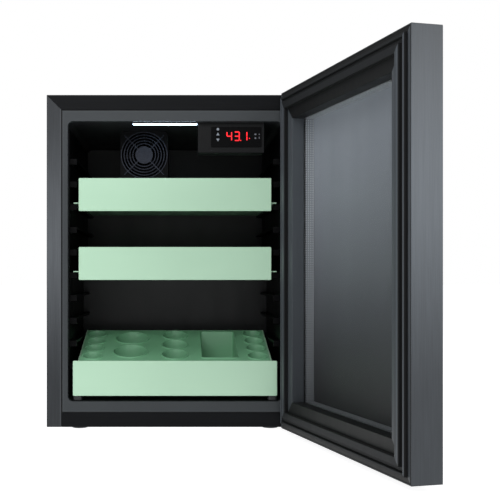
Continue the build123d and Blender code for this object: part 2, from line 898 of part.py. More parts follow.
with BuildPart() as lens:
    block(
        (light_x[0] + light_rim, light_x[1] - light_rim),
        (light_y[0] + light_rim, light_y[1] - light_rim),
        (lens_high - light_lens_height, lens_high),
    )
    fillet(lens.edges().group_by(Axis.Z)[0], radius=light_lens_height / 2)
lens.part.label = "light_lens"
export_step(lens.part, "parts/light_lens.step")

box_right = box_left + box_width
box_low = cavity_ceiling - box_height
window_middle = (window_left + window_width / 2, cavity_ceiling - window_top_margin - window_height / 2)
window_front = fitting_front - window_proud
window_top = cavity_ceiling - window_top_margin
button_heights = [window_top - button_top_margin - step * button_pitch for step in range(3)]


def button_outline(number, grow, mode=Mode.ADD):
    """Outline of a control button: a dot, an arrow up or an arrow down, grown by a clearance."""
    with Locations((button_x, button_heights[number])):
        if number == 0:
            Circle(button_radius + grow, mode=mode)
        else:
            turn = 90 if number == 1 else -90
            RegularPolygon(arrow_radius + 2 * grow, 3, rotation=turn, mode=mode)


with BuildPart() as controls:
    block((box_left, box_right), (fitting_front, fitting_front + box_depth), (box_low, cavity_ceiling))
    fillet(controls.edges().group_by(Axis.Z)[0], radius=box_wall)
    block(
        (box_left + box_wall, box_right - box_wall),
        (fitting_front + 2 * box_wall, fitting_front + box_depth - box_wall),
        (box_low + box_wall, cavity_ceiling),
        mode=Mode.SUBTRACT,
    )
    with BuildSketch(face(fitting_front)):
        with Locations(window_middle):
            RectangleRounded(window_width, window_height, window_corner)
    extrude(amount=-(window_sheet - window_proud), mode=Mode.SUBTRACT)
    with BuildSketch(face(fitting_front)):
        for number in range(3):
            button_outline(number, button_clearance)
    extrude(amount=-2 * box_wall, mode=Mode.SUBTRACT)
controls.part.label = "control_box"
export_step(controls.part, "parts/control_box.step")

with BuildPart() as window:
    with BuildSketch(face(window_front)):
        with Locations(window_middle):
            RectangleRounded(window_width, window_height, window_corner)
        for number in range(3):
            button_outline(number, button_clearance, Mode.SUBTRACT)
    extrude(amount=-window_sheet)
window.part.label = "display_window"
export_step(window.part, "parts/display_window.step")

for number, label in enumerate(("button_light", "button_up", "button_down")):
    with BuildPart() as button:
        with BuildSketch(face(window_front - button_proud)):
            button_outline(number, 0)
        extrude(amount=-button_length)
        with BuildSketch(face(fitting_front + 2 * box_wall + button_clearance)):
            with Locations((button_x, button_heights[number])):
                Circle(button_flange)
        extrude(amount=-button_flange_sheet)
    button.part.label = label
    export_step(button.part, f"parts/{label}.step")

# Lit bars of a seven-bar digit: across at the top, middle and foot, then uprights.
bar_places = {
    "top": (0, 1, False),
    "middle": (0, 0, False),
    "foot": (0, -1, False),
    "left_high": (-1, 0.5, True),
    "left_low": (-1, -0.5, True),
    "right_high": (1, 0.5, True),
    "right_low": (1, -0.5, True),
}
lit_bars = {
    4: ("left_high", "middle", "right_high", "right_low"),
    3: ("top", "middle", "foot", "right_high", "right_low"),
    1: ("right_high", "right_low"),
}
with BuildPart() as marks:
    digit_z = window_top - digit_below_top
    reach_x = (digit_width - digit_bar) / 2
    reach_z = (digit_height - digit_bar) / 2
    with BuildSketch(face(window_front - digit_relief)):
        for value, centre in zip(digit_values, digit_centres):
            for bar in lit_bars[value]:
                across, up, upright = bar_places[bar]
                length = (reach_z if upright else 2 * reach_x) - digit_bar_gap
                with Locations((centre + across * reach_x, digit_z + up * reach_z)):
                    SlotOverall(length, digit_bar, rotation=90 if upright else 0)
        with Locations(
            (digit_centres[1] + digit_width * 0.68, digit_z - reach_z),
            (digit_centres[2] + digit_width * 0.86, digit_z - reach_z / 2),
        ):
            Circle(digit_bar / 2)
        icon_x = window_left + window_width - icon_inset
        with Locations((icon_x, digit_z + icon_size)):
            RectangleRounded(icon_size, icon_size * 0.7, icon_size * 0.2)
        with Locations((icon_x, digit_z - icon_size)):
            RegularPolygon(icon_size / 2, 6)
        with Locations((icon_x + 2 * icon_size, digit_z + icon_size)):
            RegularPolygon(icon_size * 0.4, 3, rotation=90)
        with Locations((icon_x + 2 * icon_size, digit_z - icon_size * 0.8)):
            Rectangle(icon_size * 0.3, icon_size)
    extrude(amount=-digit_relief)
marks.part.label = "display_marks"
export_step(marks.part, "parts/display_marks.step")

# ---------------------------------------------------------------- trays
panel_y = front_y + panel_setback
body_y = panel_y + panel_sheet
flange_half = cavity_half - ledge_reach + flange_reach
for label, ledge, depth in (
    ("top_tray", top_ledge, top_tray_depth),
    ("middle_tray", middle_ledge, middle_tray_depth),
):
    with BuildPart() as tray:
        flange_low = ledge_top(ledge) + flange_clearance
        low = flange_low - flange_above_base
        rear = front_y + depth
        half = tray_width / 2
        with BuildSketch(face(panel_y)):
            with Locations((0, low + panel_height / 2)):
                RectangleRounded(panel_width, panel_height, panel_corner)
        extrude(amount=-panel_sheet)
        fillet(tray.edges().group_by(Axis.Y)[0], radius=panel_round)
        block((-half, half), (body_y, front_y + flange_start), (flange_low, flange_low + tray_sheet))
        with BuildSketch(level(flange_low)):
            with Locations((0, (front_y + flange_start + rear) / 2)):
                Rectangle(2 * flange_half, rear - front_y - flange_start)
        extrude(amount=tray_sheet)
        fillet(tray.edges().filter_by(Axis.Z).group_by(Axis.Y)[-1], radius=flange_corner)
        for sign in (-1, 1):
            wall = sorted((sign * half, sign * (half - tray_sheet)))
            block(wall, (body_y, rear), (flange_low, low + panel_height - tray_sheet))
        block((-half, half), (rear - tray_sheet, rear), (flange_low, low + tray_back_height))
    tray.part.label = label
    export_step(tray.part, f"parts/{label}.step")

low_tray_z = cavity_floor + low_tray_lift
low_rear = front_y + low_tray_depth
low_half = low_tray_width / 2
low_panel_top = low_tray_z + low_panel_height
rise = tan(radians(deck_slope))
low_rear_top = low_panel_top + (low_rear - body_y) * rise
low_floor_top = low_tray_z + 2 * tray_sheet
with BuildPart() as low_tray:
    with BuildSketch(face(panel_y)):
        with Locations((0, low_tray_z + low_panel_height / 2)):
            RectangleRounded(low_panel_width, low_panel_height, panel_corner)
    extrude(amount=-panel_sheet)
    fillet(low_tray.edges().group_by(Axis.Y)[0], radius=panel_round)
    block((-low_half, low_half), (body_y, low_rear), (low_tray_z + tray_sheet, low_floor_top))
    for inner_x in (-low_half, low_half - tray_sheet):
        with BuildSketch(side(inner_x)):
            Polygon(
                (body_y, low_tray_z + tray_sheet),
                (low_rear, low_tray_z + tray_sheet),
                (low_rear, low_rear_top),
                (body_y, low_panel_top),
                align=None,
            )
        extrude(amount=tray_sheet)
    rear_wall_top = low_rear_top - tray_sheet * rise
    block((-low_half, low_half), (low_rear - tray_sheet, low_rear), (low_tray_z + tray_sheet, rear_wall_top))
low_tray.part.label = "bottom_tray"
export_step(low_tray.part, "parts/bottom_tray.step")

deck_front = body_y + deck_play
deck_rear = low_rear - tray_sheet - deck_play
deck_middle = (deck_front + deck_rear) / 2
deck_front_top = low_panel_top + (deck_front - body_y) * rise
deck_rear_top = low_panel_top + (deck_rear - body_y) * rise
slope = radians(deck_slope)
deck_plane = Plane(
    origin=(0, deck_front, deck_front_top), x_dir=(1, 0, 0), z_dir=(0, -sin(slope), cos(slope))
)
round_cups = []
for x, radius, pitch, count in (
    (-small_offset, small_cup, small_pitch, small_count),
    (small_offset, small_cup, small_pitch, small_count),
    (0, medium_cup, medium_pitch, medium_count),
    (-big_offset, big_cup, big_pitch, big_count),
):
    first = deck_middle - (count - 1) * pitch / 2
    round_cups += [(x, first + step * pitch, radius) for step in range(count)]
with BuildPart() as insert:
    with BuildSketch(side(-deck_half)):
        Polygon(
            (deck_front, deck_front_top - deck_thickness),
            (deck_rear, deck_rear_top - deck_thickness),
            (deck_rear, deck_rear_top),
            (deck_front, deck_front_top),
            align=None,
        )
    extrude(amount=2 * deck_half)
    with BuildSketch(level(low_floor_top)):
        for x, y, radius in round_cups:
            with Locations((x, y)):
                Circle(radius + cup_wall)
        with Locations((tub_offset, deck_middle)):
            RectangleRounded(tub_width + 2 * cup_wall, tub_length + 2 * cup_wall, tub_corner + cup_wall)
    extrude(amount=2 * low_panel_height)
    split(bisect_by=deck_plane.offset(rim_height), keep=Keep.BOTTOM)
    with BuildSketch(level(low_floor_top + cup_wall)):
        for x, y, radius in round_cups:
            with Locations((x, y)):
                Circle(radius)
        with Locations((tub_offset, deck_middle)):
            RectangleRounded(tub_width, tub_length, tub_corner)
    extrude(amount=3 * low_panel_height, mode=Mode.SUBTRACT)
insert.part.label = "bottom_tray_insert"
export_step(insert.part, "parts/bottom_tray_insert.step")

with BuildPart() as glides:
    glide_x = low_half + glide_outward
    glide_y = (body_y + glide_length / 2 + tray_sheet, low_rear - glide_length / 2 - tray_sheet)
    with BuildSketch(level(cavity_floor + tray_travel_clearance)):
        with Locations(*[(sign * glide_x, y) for sign in (-1, 1) for y in glide_y]):
            RectangleRounded(glide_width, glide_length, glide_corner)
    extrude(amount=low_tray_lift + tray_sheet - tray_travel_clearance)
    fillet(glides.edges().group_by(Axis.Z)[0], radius=glide_corner / 2)
glides.part.label = "tray_glides"
export_step(glides.part, "parts/tray_glides.step")

# ---------------------------------------------------------------- hinges
for label, low, high in (
    ("hinge_plate_top", top_z, top_z + hinge_plate),
    ("hinge_plate_bottom", base_z - hinge_plate, base_z),
):
    with BuildPart() as plate:
        with BuildSketch(level(low)):
            with Locations(hinge_middle):
                RectangleRounded(hinge_width, hinge_length, 4)
            with Locations((pin_x, (pin_y + hinge_middle[1]) / 2)):
                Rectangle(2 * bush_flange_radius + 4, hinge_middle[1] - pin_y)
            with Locations((pin_x, pin_y)):
                Circle(bush_flange_radius + 2)
                Circle(pin_radius, mode=Mode.SUBTRACT)
            with Locations(*hinge_screw_spots):
                Circle(screw_radius + screw_clearance, mode=Mode.SUBTRACT)
        extrude(amount=hinge_plate)
    plate.part.label = label
    export_step(plate.part, f"parts/{label}.step")

with BuildPart() as pins:
    for far, sign in ((top_z + hinge_plate, -1), (base_z - hinge_plate, 1)):
        with BuildSketch(level(far)):
            with Locations((pin_x, pin_y)):
                Circle(pin_radius)
        extrude(amount=sign * (hinge_plate + pin_length))
        with BuildSketch(level(far)):
            with Locations((pin_x, pin_y)):
                Circle(pin_head_radius)
        extrude(amount=-sign * pin_head)
pins.part.label = "hinge_pins"
export_step(pins.part, "parts/hinge_pins.step")

with BuildPart() as hinge_screws:
    for far, sign in ((top_z + hinge_plate, -1), (base_z - hinge_plate, 1)):
        with BuildSketch(level(far)):
            with Locations(*hinge_screw_spots):
                Circle(screw_radius)
        extrude(amount=sign * screw_length)
        with BuildSketch(level(far)):
            with Locations(*hinge_screw_spots):
                Circle(screw_head)
        extrude(amount=-sign * screw_head_height)
hinge_screws.part.label = "hinge_screws"
export_step(hinge_screws.part, "parts/hinge_screws.step")

# ---------------------------------------------------------------- feet
for label, spot in zip(("front_foot_left", "front_foot_right"), front_foot_spots):
    with BuildPart() as foot:
        with BuildSketch(level(0)):
            with Locations(spot):
                Circle(foot_radius)
        extrude(amount=foot_disc)
        fillet(foot.edges().group_by(Axis.Z)[0], radius=1.5)
        fillet(foot.edges().group_by(Axis.Z)[-1], radius=1.5)
        with BuildSketch(level(foot_disc)):
            with Locations(spot):
                Circle(stud_radius)
        extrude(amount=stud_length)
    foot.part.label = label
    export_step(foot.part, f"parts/{label}.step")

with BuildPart() as rear_feet:
    with BuildSketch(level(0)):
        with Locations(*rear_foot_spots):
            Circle(rear_foot_radius)
    extrude(amount=foot_height)
    fillet(rear_feet.edges().group_by(Axis.Z)[0], radius=1.5)
rear_feet.part.label = "rear_feet"
export_step(rear_feet.part, "parts/rear_feet.step")

# ---------------------------------------------------------------- door
for label, where in (
    ("door_stile_hinge", "hinge"),
    ("door_stile_free", "free"),
    ("door_rail_top", "top"),
    ("door_rail_bottom", "bottom"),
):
    with BuildPart() as member:
        with BuildSketch(door_face(door_outer_face)):
            Polygon(*door_strip(where, 0, door_band), align=None)
        extrude(amount=door_wall)
        with BuildSketch(door_face(pane_front)):
            Polygon(*door_strip(where, 0, door_wall), align=None)
        extrude(amount=door_inner_face - pane_front)
        with BuildSketch(door_face(pane_front)):
            Polygon(*door_strip(where, door_web, door_web + door_wall), align=None)
        extrude(amount=plate_front - pane_front)
        if where in ("top", "bottom"):
            end = door_high if where == "top" else door_low
            with Locations((pin_x, pin_y, end)):
                Cylinder(bush_radius, 2 * door_wall, mode=Mode.SUBTRACT)
    member.part.label = label
    export_step(member.part, f"parts/{label}.step")

with BuildPart() as inner_frame:
    with BuildSketch(door_face(plate_front)):
        door_ring(door_wall + plate_clearance, reveal_inset)
    extrude(amount=inner_plate)
    with BuildSketch(door_face(inner_pane_rear)):
        door_ring(reveal_inset - reveal_wall, reveal_inset)
    extrude(amount=plate_front - inner_pane_rear)
    with BuildSketch(door_face(door_inner_face - barb_depth)):
        door_ring(gasket_outer + gasket_lip, gasket_outer + gasket_lip + gasket_barb)
    extrude(amount=barb_depth, mode=Mode.SUBTRACT)
inner_frame.part.label = "door_inner_frame"
export_step(inner_frame.part, "parts/door_inner_frame.step")

bulb_height = door_gap - gasket_play
bulb_outer = gasket_inner - gasket_bulb
with BuildPart() as gasket:
    with BuildSketch(door_face(door_inner_face)):
        door_ring(gasket_outer, gasket_inner)
    extrude(amount=gasket_base)
    with BuildSketch(door_face(door_inner_face)):
        door_ring(gasket_outer, gasket_outer + gasket_lip)
    extrude(amount=gasket_lip_height)
    with BuildSketch(door_face(door_inner_face)):
        door_ring(bulb_outer, gasket_inner)
    extrude(amount=bulb_height)
    with BuildSketch(door_face(door_inner_face - barb_depth)):
        door_ring(gasket_outer + gasket_lip, gasket_outer + gasket_lip + gasket_barb)
    extrude(amount=barb_depth)
    with BuildSketch(door_face(door_inner_face + gasket_base)):
        door_ring(bulb_outer + gasket_skin, gasket_inner - gasket_skin)
    extrude(amount=bulb_height - gasket_base - gasket_skin, mode=Mode.SUBTRACT)
gasket.part.label = "door_gasket"
export_step(gasket.part, "parts/door_gasket.step")

with BuildPart() as magnets:
    near = bulb_outer + gasket_skin + magnet_clearance
    far = gasket_inner - gasket_skin - magnet_clearance
    bar = far - near
    centre_x = body_width / 2 - pin_inset
    line_x = body_width / 2 - (near + far) / 2
    line_z = door_height / 2 - (near + far) / 2
    with BuildSketch(door_face(door_inner_face + gasket_base + magnet_clearance)):
        with Locations((centre_x, door_middle - line_z), (centre_x, door_middle + line_z)):
            Rectangle(2 * line_x - 2 * bar, bar)
        with Locations((centre_x - line_x, door_middle), (centre_x + line_x, door_middle)):
            Rectangle(bar, 2 * line_z - 2 * bar)
    extrude(amount=bulb_height - gasket_base - gasket_skin - 2 * magnet_clearance)
magnets.part.label = "gasket_magnets"
export_step(magnets.part, "parts/gasket_magnets.step")

for label, depth, thickness in (
    ("outer_glass", pane_front, outer_pane),
    ("inner_glass", inner_pane_front, inner_pane),
):
    with BuildPart() as pane:
        with BuildSketch(door_face(depth)):
            with Locations((body_width / 2 - pin_inset, door_middle)):
                Rectangle(body_width - 2 * glass_inset, door_height - 2 * glass_inset)
        extrude(amount=thickness)
    pane.part.label = label
    export_step(pane.part, f"parts/{label}.step")

with BuildPart() as spacer:
    spacer_far = reveal_inset + spacer_show
    with BuildSketch(door_face(gap_front)):
        door_ring(spacer_far - spacer_width, spacer_far)
    extrude(amount=pane_gap)
spacer.part.label = "glass_spacer"
export_step(spacer.part, "parts/glass_spacer.step")

with BuildPart() as bushes:
    for end, sign in ((door_high, -1), (door_low, 1)):
        with BuildSketch(level(end)):
            with Locations((pin_x, pin_y)):
                Circle(bush_radius)
        extrude(amount=sign * bush_length)
        with BuildSketch(level(end)):
            with Locations((pin_x, pin_y)):
                Circle(bush_flange_radius)
        extrude(amount=-sign * bush_flange)
        with BuildSketch(level(end - sign * bush_flange)):
            with Locations((pin_x, pin_y)):
                Circle(pin_radius + pin_clearance)
        extrude(amount=sign * (bush_length + bush_flange), mode=Mode.SUBTRACT)
bushes.part.label = "door_bushes"
export_step(bushes.part, "parts/door_bushes.step")
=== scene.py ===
"""Looks of a glass-door mini fridge with three drawers, dressed over its fixed CAD frame.

Everything is in metres in the frame's own axes: X right, Y to the rear, Z up.
"""
from __future__ import annotations

import json
import logging
import math
from dataclasses import dataclass, field
from enum import Enum
from typing import Iterable, Sequence, Union

import bmesh
import bpy
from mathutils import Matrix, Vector

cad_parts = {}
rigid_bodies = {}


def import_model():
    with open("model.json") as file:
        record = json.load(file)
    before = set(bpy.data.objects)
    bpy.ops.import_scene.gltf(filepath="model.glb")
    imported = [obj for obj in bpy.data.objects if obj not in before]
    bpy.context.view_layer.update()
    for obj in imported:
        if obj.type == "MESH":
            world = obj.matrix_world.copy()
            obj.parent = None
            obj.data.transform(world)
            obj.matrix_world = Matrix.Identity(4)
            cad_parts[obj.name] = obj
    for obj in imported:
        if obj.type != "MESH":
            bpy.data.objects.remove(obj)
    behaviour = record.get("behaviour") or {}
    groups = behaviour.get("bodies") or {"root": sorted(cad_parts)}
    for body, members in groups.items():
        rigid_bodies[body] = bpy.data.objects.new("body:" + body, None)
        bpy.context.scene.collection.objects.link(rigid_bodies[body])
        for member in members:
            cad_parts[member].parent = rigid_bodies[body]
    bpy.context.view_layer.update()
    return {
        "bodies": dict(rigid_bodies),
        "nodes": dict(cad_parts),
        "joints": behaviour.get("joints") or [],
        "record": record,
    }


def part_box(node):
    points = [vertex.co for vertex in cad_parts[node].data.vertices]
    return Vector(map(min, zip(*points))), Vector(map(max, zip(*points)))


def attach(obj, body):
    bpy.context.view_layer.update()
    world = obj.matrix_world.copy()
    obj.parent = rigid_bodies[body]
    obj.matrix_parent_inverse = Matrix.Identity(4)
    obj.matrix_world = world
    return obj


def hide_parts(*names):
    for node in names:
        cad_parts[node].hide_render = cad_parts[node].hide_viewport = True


LOG = logging.getLogger("mini_fridge")
Colour = tuple[float, float, float]
Number = Union[int, float]


class Run(Enum):
    """Way in which a brushed or moulded surface's grain runs, as stretches along X, Y and Z."""

    ACROSS = (0.02, 1.0, 1.0)
    UP = (1.0, 1.0, 0.02)
    BACK = (1.0, 0.02, 1.0)


class Shade:
    """A value in a material, with Python's arithmetic."""

    def __init__(self, graph: "Graph", socket: bpy.types.NodeSocket) -> None:
        """Wraps a socket.

        Args:
            graph: the graph that the socket is in.
            socket: the output socket.
        """
        self.graph = graph
        self.socket = socket

    def __add__(self, other: "Level") -> "Shade":
        """Sum."""
        return self.graph.math("ADD", self, other)

    def __radd__(self, other: "Level") -> "Shade":
        """Sum, from the right."""
        return self.graph.math("ADD", other, self)

    def __sub__(self, other: "Level") -> "Shade":
        """Difference."""
        return self.graph.math("SUBTRACT", self, other)

    def __rsub__(self, other: "Level") -> "Shade":
        """Difference, from the right."""
        return self.graph.math("SUBTRACT", other, self)

    def __mul__(self, other: "Level") -> "Shade":
        """Product."""
        return self.graph.math("MULTIPLY", self, other)

    def __rmul__(self, other: "Level") -> "Shade":
        """Product, from the right."""
        return self.graph.math("MULTIPLY", other, self)

    def __truediv__(self, other: "Level") -> "Shade":
        """Quotient."""
        return self.graph.math("DIVIDE", self, other)

    def __pow__(self, other: "Level") -> "Shade":
        """Power."""
        return self.graph.math("POWER", self, other)

    def __mod__(self, other: "Level") -> "Shade":
        """Remainder, always positive."""
        return self.graph.math("FLOORED_MODULO", self, other)

    def __abs__(self) -> "Shade":
        """Size without sign."""
        return self.graph.math("ABSOLUTE", self)

    def smooth(self, low: float, high: float) -> "Shade":
        """Soft step from 0 at one value to 1 at another.

        Args:
            low: value that gives 0.
            high: value that gives 1.

        Returns:
            The stepped value.
        """
        return self.graph.value(
            "ShaderNodeMapRange",
            "Result",
            {"interpolation_type": "SMOOTHSTEP"},
            {"Value": self, "From Min": low, "From Max": high},
        )


Level = Union[Number, Shade]


class Graph:
    """The node tree of one material, or of the surroundings."""

    # places of a Mix node's colour sockets
    MIX_SHARE, MIX_FIRST, MIX_SECOND, MIX_RESULT = 0, 6, 7, 2

    def __init__(self, name: str, surroundings: bool = False) -> None:
        """Makes an empty material, or empty surroundings.

        Args:
            name: its name.
            surroundings: whether it is the surroundings.
        """
        library = bpy.data.worlds if surroundings else bpy.data.materials
        self.owner = library.new(name)
        self.owner.use_nodes = True
        self.tree = self.owner.node_tree
        self.tree.nodes.clear()

    def node(
        self, kind: str, settings: dict | None = None, inputs: dict | None = None
    ) -> bpy.types.Node:
        """Adds a node, sets it up, then fills in its sockets.

        Args:
            kind: the node's type.
            settings: the node's own settings, and "stops" for a ramp.
            inputs: socket name or place to a number, a tuple, a value or a socket.

        Returns:
            The node.
        """
        made = self.tree.nodes.new(kind)
        for key, setting in (settings or {}).items():
            if key == "stops":
                ramp = made.color_ramp
                while len(ramp.elements) < len(setting):
                    ramp.elements.new(0.5)
                for element, (place, colour) in zip(ramp.elements, setting):
                    element.position = place
                    element.color = (*colour, 1.0)
            else:
                setattr(made, key, setting)
        for key, given in (inputs or {}).items():
            socket = made.inputs[key]
            if isinstance(given, Shade):
                self.tree.links.new(given.socket, socket)
            elif isinstance(given, bpy.types.NodeSocket):
                self.tree.links.new(given, socket)
            elif isinstance(given, tuple) and len(given) == 3 and socket.type == "RGBA":
                socket.default_value = (*given, 1.0)
            else:
                socket.default_value = given
        return made

    def value(
        self,
        kind: str,
        output: str | int,
        settings: dict | None = None,
        inputs: dict | None = None,
    ) -> Shade:
        """Adds a node and wraps one of its outputs.

        Args:
            kind: the node's type.
            output: the output's name or place.
            settings: the node's own settings.
            inputs: what goes into its sockets.

        Returns:
            The output, wrapped.
        """
        return Shade(self, self.node(kind, settings, inputs).outputs[output])

    def math(self, operation: str, *levels: Level) -> Shade:
        """Adds a Math node for one operation on its values."""
        return self.value("ShaderNodeMath", 0, {"operation": operation}, dict(enumerate(levels)))

    def place(self) -> Shade:
        """Place on the object, in the frame's axes, in metres."""
        return self.value("ShaderNodeTexCoord", "Object")

    def axes(self) -> tuple[Shade, Shade, Shade]:
        """The place's X, Y and Z."""
        parts = self.node("ShaderNodeSeparateXYZ", None, {0: self.place()})
        return tuple(Shade(self, parts.outputs[way]) for way in range(3))

    def stretched(self, stretch: Sequence[float]) -> Shade:
        """Place with each axis stretched by a factor."""
        inputs = {0: self.place(), 1: tuple(stretch)}
        return self.value("ShaderNodeVectorMath", 0, {"operation": "MULTIPLY"}, inputs)

    def noise(
        self, scale: float, detail: float = 3.0, stretch: Sequence[float] = (1, 1, 1)
    ) -> Shade:
        """Cloudy value from 0 to 1.

        Args:
            scale: clouds in each metre.
            detail: octaves of finer clouds.
            stretch: factor on each axis.

        Returns:
            The value.
        """
        inputs = {"Vector": self.stretched(stretch), "Scale": scale, "Detail": detail}
        return self.value("ShaderNodeTexNoise", "Fac", None, inputs)

    def cells(self, scale: float) -> Shade:
        """Distance from the middle of random cells, with so many cells in each metre."""
        inputs = {"Vector": self.place(), "Scale": scale}
        return self.value("ShaderNodeTexVoronoi", "Distance", {"feature": "F1"}, inputs)

    def lines(self, level: Shade, places: Sequence[float], reach: float) -> Shade:
        """Thin lines where a value passes given places.

        Args:
            level: the value.
            places: where the lines lie.
            reach: how far each line reaches on either side.

        Returns:
            1 in a line and 0 away from it.
        """
        total = 1 - abs(level - places[0]).smooth(reach * 0.5, reach)
        for place in places[1:]:
            total = total + (1 - abs(level - place).smooth(reach * 0.5, reach))
        return total

    def mix(self, share: Level, first: Colour | Shade, second: Colour | Shade) -> Shade:
        """Colour between two colours.

        Args:
            share: 0 for the first colour, 1 for the second.
            first: a colour.
            second: another colour.

        Returns:
            The mixed colour.
        """
        settings = {"data_type": "RGBA", "clamp_factor": True}
        inputs = {self.MIX_SHARE: share, self.MIX_FIRST: first, self.MIX_SECOND: second}
        return self.value("ShaderNodeMix", self.MIX_RESULT, settings, inputs)

    def bump(self, height: Shade, depth: float) -> Shade:
        """Surface direction from a height.

        Args:
            height: the height, from 0 to 1.
            depth: how far a height of 1 stands up, in metres.

        Returns:
            The direction.
        """
        inputs = {"Strength": 1.0, "Distance": depth, "Height": height}
        return self.value("ShaderNodeBump", "Normal", None, inputs)

    def surface(self, inputs: dict) -> bpy.types.Material:
        """Ends the material in a Principled shader.

        Args:
            inputs: what goes into the shader's sockets.

        Returns:
            The material.
        """
        shader = self.node("ShaderNodeBsdfPrincipled", None, inputs)
        self.node("ShaderNodeOutputMaterial", None, {"Surface": shader.outputs[0]})
        return self.owner


def scaled(colour: Colour, factor: float) -> Colour:
    """A colour made brighter or darker."""
    return tuple(part * factor for part in colour)


@dataclass(frozen=True)
class DoorAxes:
    """The open door's own axes, from its hinge pin, to place what changes across the door.

    swing is how far the door's width has turned from X, in degrees. inset is how far the pin is
    from the door's edge, and low and high are the heights of the door's foot and top. joint is how
    far a mitre reaches on each side.
    """

    hinge: tuple[float, float] = (0.2233, -0.256)
    swing: float = 284.3
    width: float = 0.483
    inset: float = 0.0182
    low: float = 0.011
    high: float = 0.634
    joint: float = 0.0003

    def along(self, graph: Graph) -> Shade:
        """Distance from the hinge pin towards the free edge."""
        x, y, _ = graph.axes()
        turn = math.radians(self.swing)
        return (x - self.hinge[0]) * math.cos(turn) + (y - self.hinge[1]) * math.sin(turn)

    def depth(self, graph: Graph) -> Shade:
        """Distance from the hinge pin towards the inside of the door."""
        x, y, _ = graph.axes()
        turn = math.radians(self.swing)
        return (x - self.hinge[0]) * math.sin(turn) - (y - self.hinge[1]) * math.cos(turn)

    def across(self, graph: Graph) -> Shade:
        """Share of the door's width, 0 at the hinge edge and 1 at the free edge."""
        return (self.along(graph) + self.inset) / self.width

    def height(self, graph: Graph) -> Shade:
        """Share of the door's height, 0 at its foot and 1 at its top."""
        return (graph.axes()[2] - self.low) / (self.high - self.low)

    def mitre(self, graph: Graph) -> Shade:
        """1 on the head and foot of a ring round the door, 0 on its sides, split at the mitres."""
        return (self.from_side(graph) - self.from_end(graph)).smooth(-self.joint, self.joint)

    def from_side(self, graph: Graph) -> Shade:
        """Distance in from the nearer of the door's side edges."""
        return self.width / 2 - abs(self.along(graph) - (self.width / 2 - self.inset))

    def from_end(self, graph: Graph) -> Shade:
        """Distance in from the nearer of the door's top and foot."""
        return (self.high - self.low) / 2 - abs(graph.axes()[2] - (self.low + self.high) / 2)


@dataclass(frozen=True)
class Finish:
    """What every finish has: a name and a base colour, and a method that makes its material."""

    name: str
    colour: Colour

    def make(self) -> bpy.types.Material:
        """The finish's material."""
        raise NotImplementedError


@dataclass(frozen=True)
class BrushedEnamel(Finish):
    """Black enamel over brushed steel: fine streaks one way, with faint cloudiness.

    pale is the colour of a painted sheen: a lighter tone round a given height that fades out over a
    given reach. lip is where the rolled inner edge starts, from the middle, and how wide it is; a
    painted shadow lies along its first width and a painted highlight along the next.
    """

    run: Run = Run.UP
    roughness: float = 0.38
    gloss: float = 0.3
    streak_depth: float = 0.00003
    pale: Colour | None = None
    sheen_at: float = 0.36
    sheen_reach: float = 0.27
    lip: tuple[float, float] | None = None
    fine: float = 900.0
    broad: float = 120.0
    lip_edge: float = 0.0004

    def make(self) -> bpy.types.Material:
        """The finish's material."""
        graph = Graph(self.name)
        fine = graph.noise(self.fine, 2.0, self.run.value)
        broad = graph.noise(self.broad, 2.0, self.run.value)
        cloud = graph.noise(7.0, 2.0)
        streak = fine * 0.65 + broad * 0.35
        tone = streak.smooth(0.3, 0.75)
        colour = graph.mix(tone, scaled(self.colour, 0.84), scaled(self.colour, 1.18))
        if self.pale:
            x, _, up = graph.axes()
            # painted sheen: a lighter band round a given height, standing in for studio light on
            # the steel
            painted_sheen_band = 1 - abs(up - self.sheen_at).smooth(0.0, self.sheen_reach)
            pale = graph.mix(tone, scaled(self.pale, 0.88), scaled(self.pale, 1.12))
            colour = graph.mix(painted_sheen_band, colour, pale)
            if self.lip:
                start, wide = self.lip
                past = abs(x) - start
                # painted highlight along the rolled inner edge
                ridge_highlight = (past - wide).smooth(0.0, self.lip_edge) * (
                    1 - (past - wide * 2).smooth(0.0, self.lip_edge * 2)
                )
                colour = graph.mix(ridge_highlight * 0.4, colour, self.pale)
                # painted shadow along the inner edge, inward of the highlight
                shadow = past.smooth(wide, wide * 0.7)
                colour = graph.mix(shadow, colour, scaled(self.colour, 0.25))
        return graph.surface(
            {
                "Base Color": colour,
                "Roughness": self.roughness + (streak - 0.5) * 0.22 + (cloud - 0.5) * 0.08,
                "Specular IOR Level": self.gloss,
                "Normal": graph.bump(streak, self.streak_depth),
            }
        )


@dataclass(frozen=True)
class MouldedPlastic(Finish):
    """Moulded plastic with a fine spark-eroded grain and slight cloudiness."""

    roughness: float = 0.45
    gloss: float = 0.4
    grain: float = 1400.0
    grain_depth: float = 0.00004
    mottle: float = 0.12

    def make(self) -> bpy.types.Material:
        """The finish's material."""
        graph = Graph(self.name)
        grain = graph.noise(self.grain, 2.0)
        cloud = graph.noise(14.0, 3.0)
        smear = graph.noise(38.0, 4.0, (1.0, 1.0, 0.3))
        darker, lighter = scaled(self.colour, 1 - self.mottle), scaled(self.colour, 1 + self.mottle)
        colour = graph.mix(cloud.smooth(0.25, 0.75), darker, lighter)
        return graph.surface(
            {
                "Base Color": colour,
                "Roughness": self.roughness + (smear - 0.5) * 0.16 + (grain - 0.5) * 0.06,
                "Specular IOR Level": self.gloss,
                "Normal": graph.bump(grain, self.grain_depth),
            }
        )


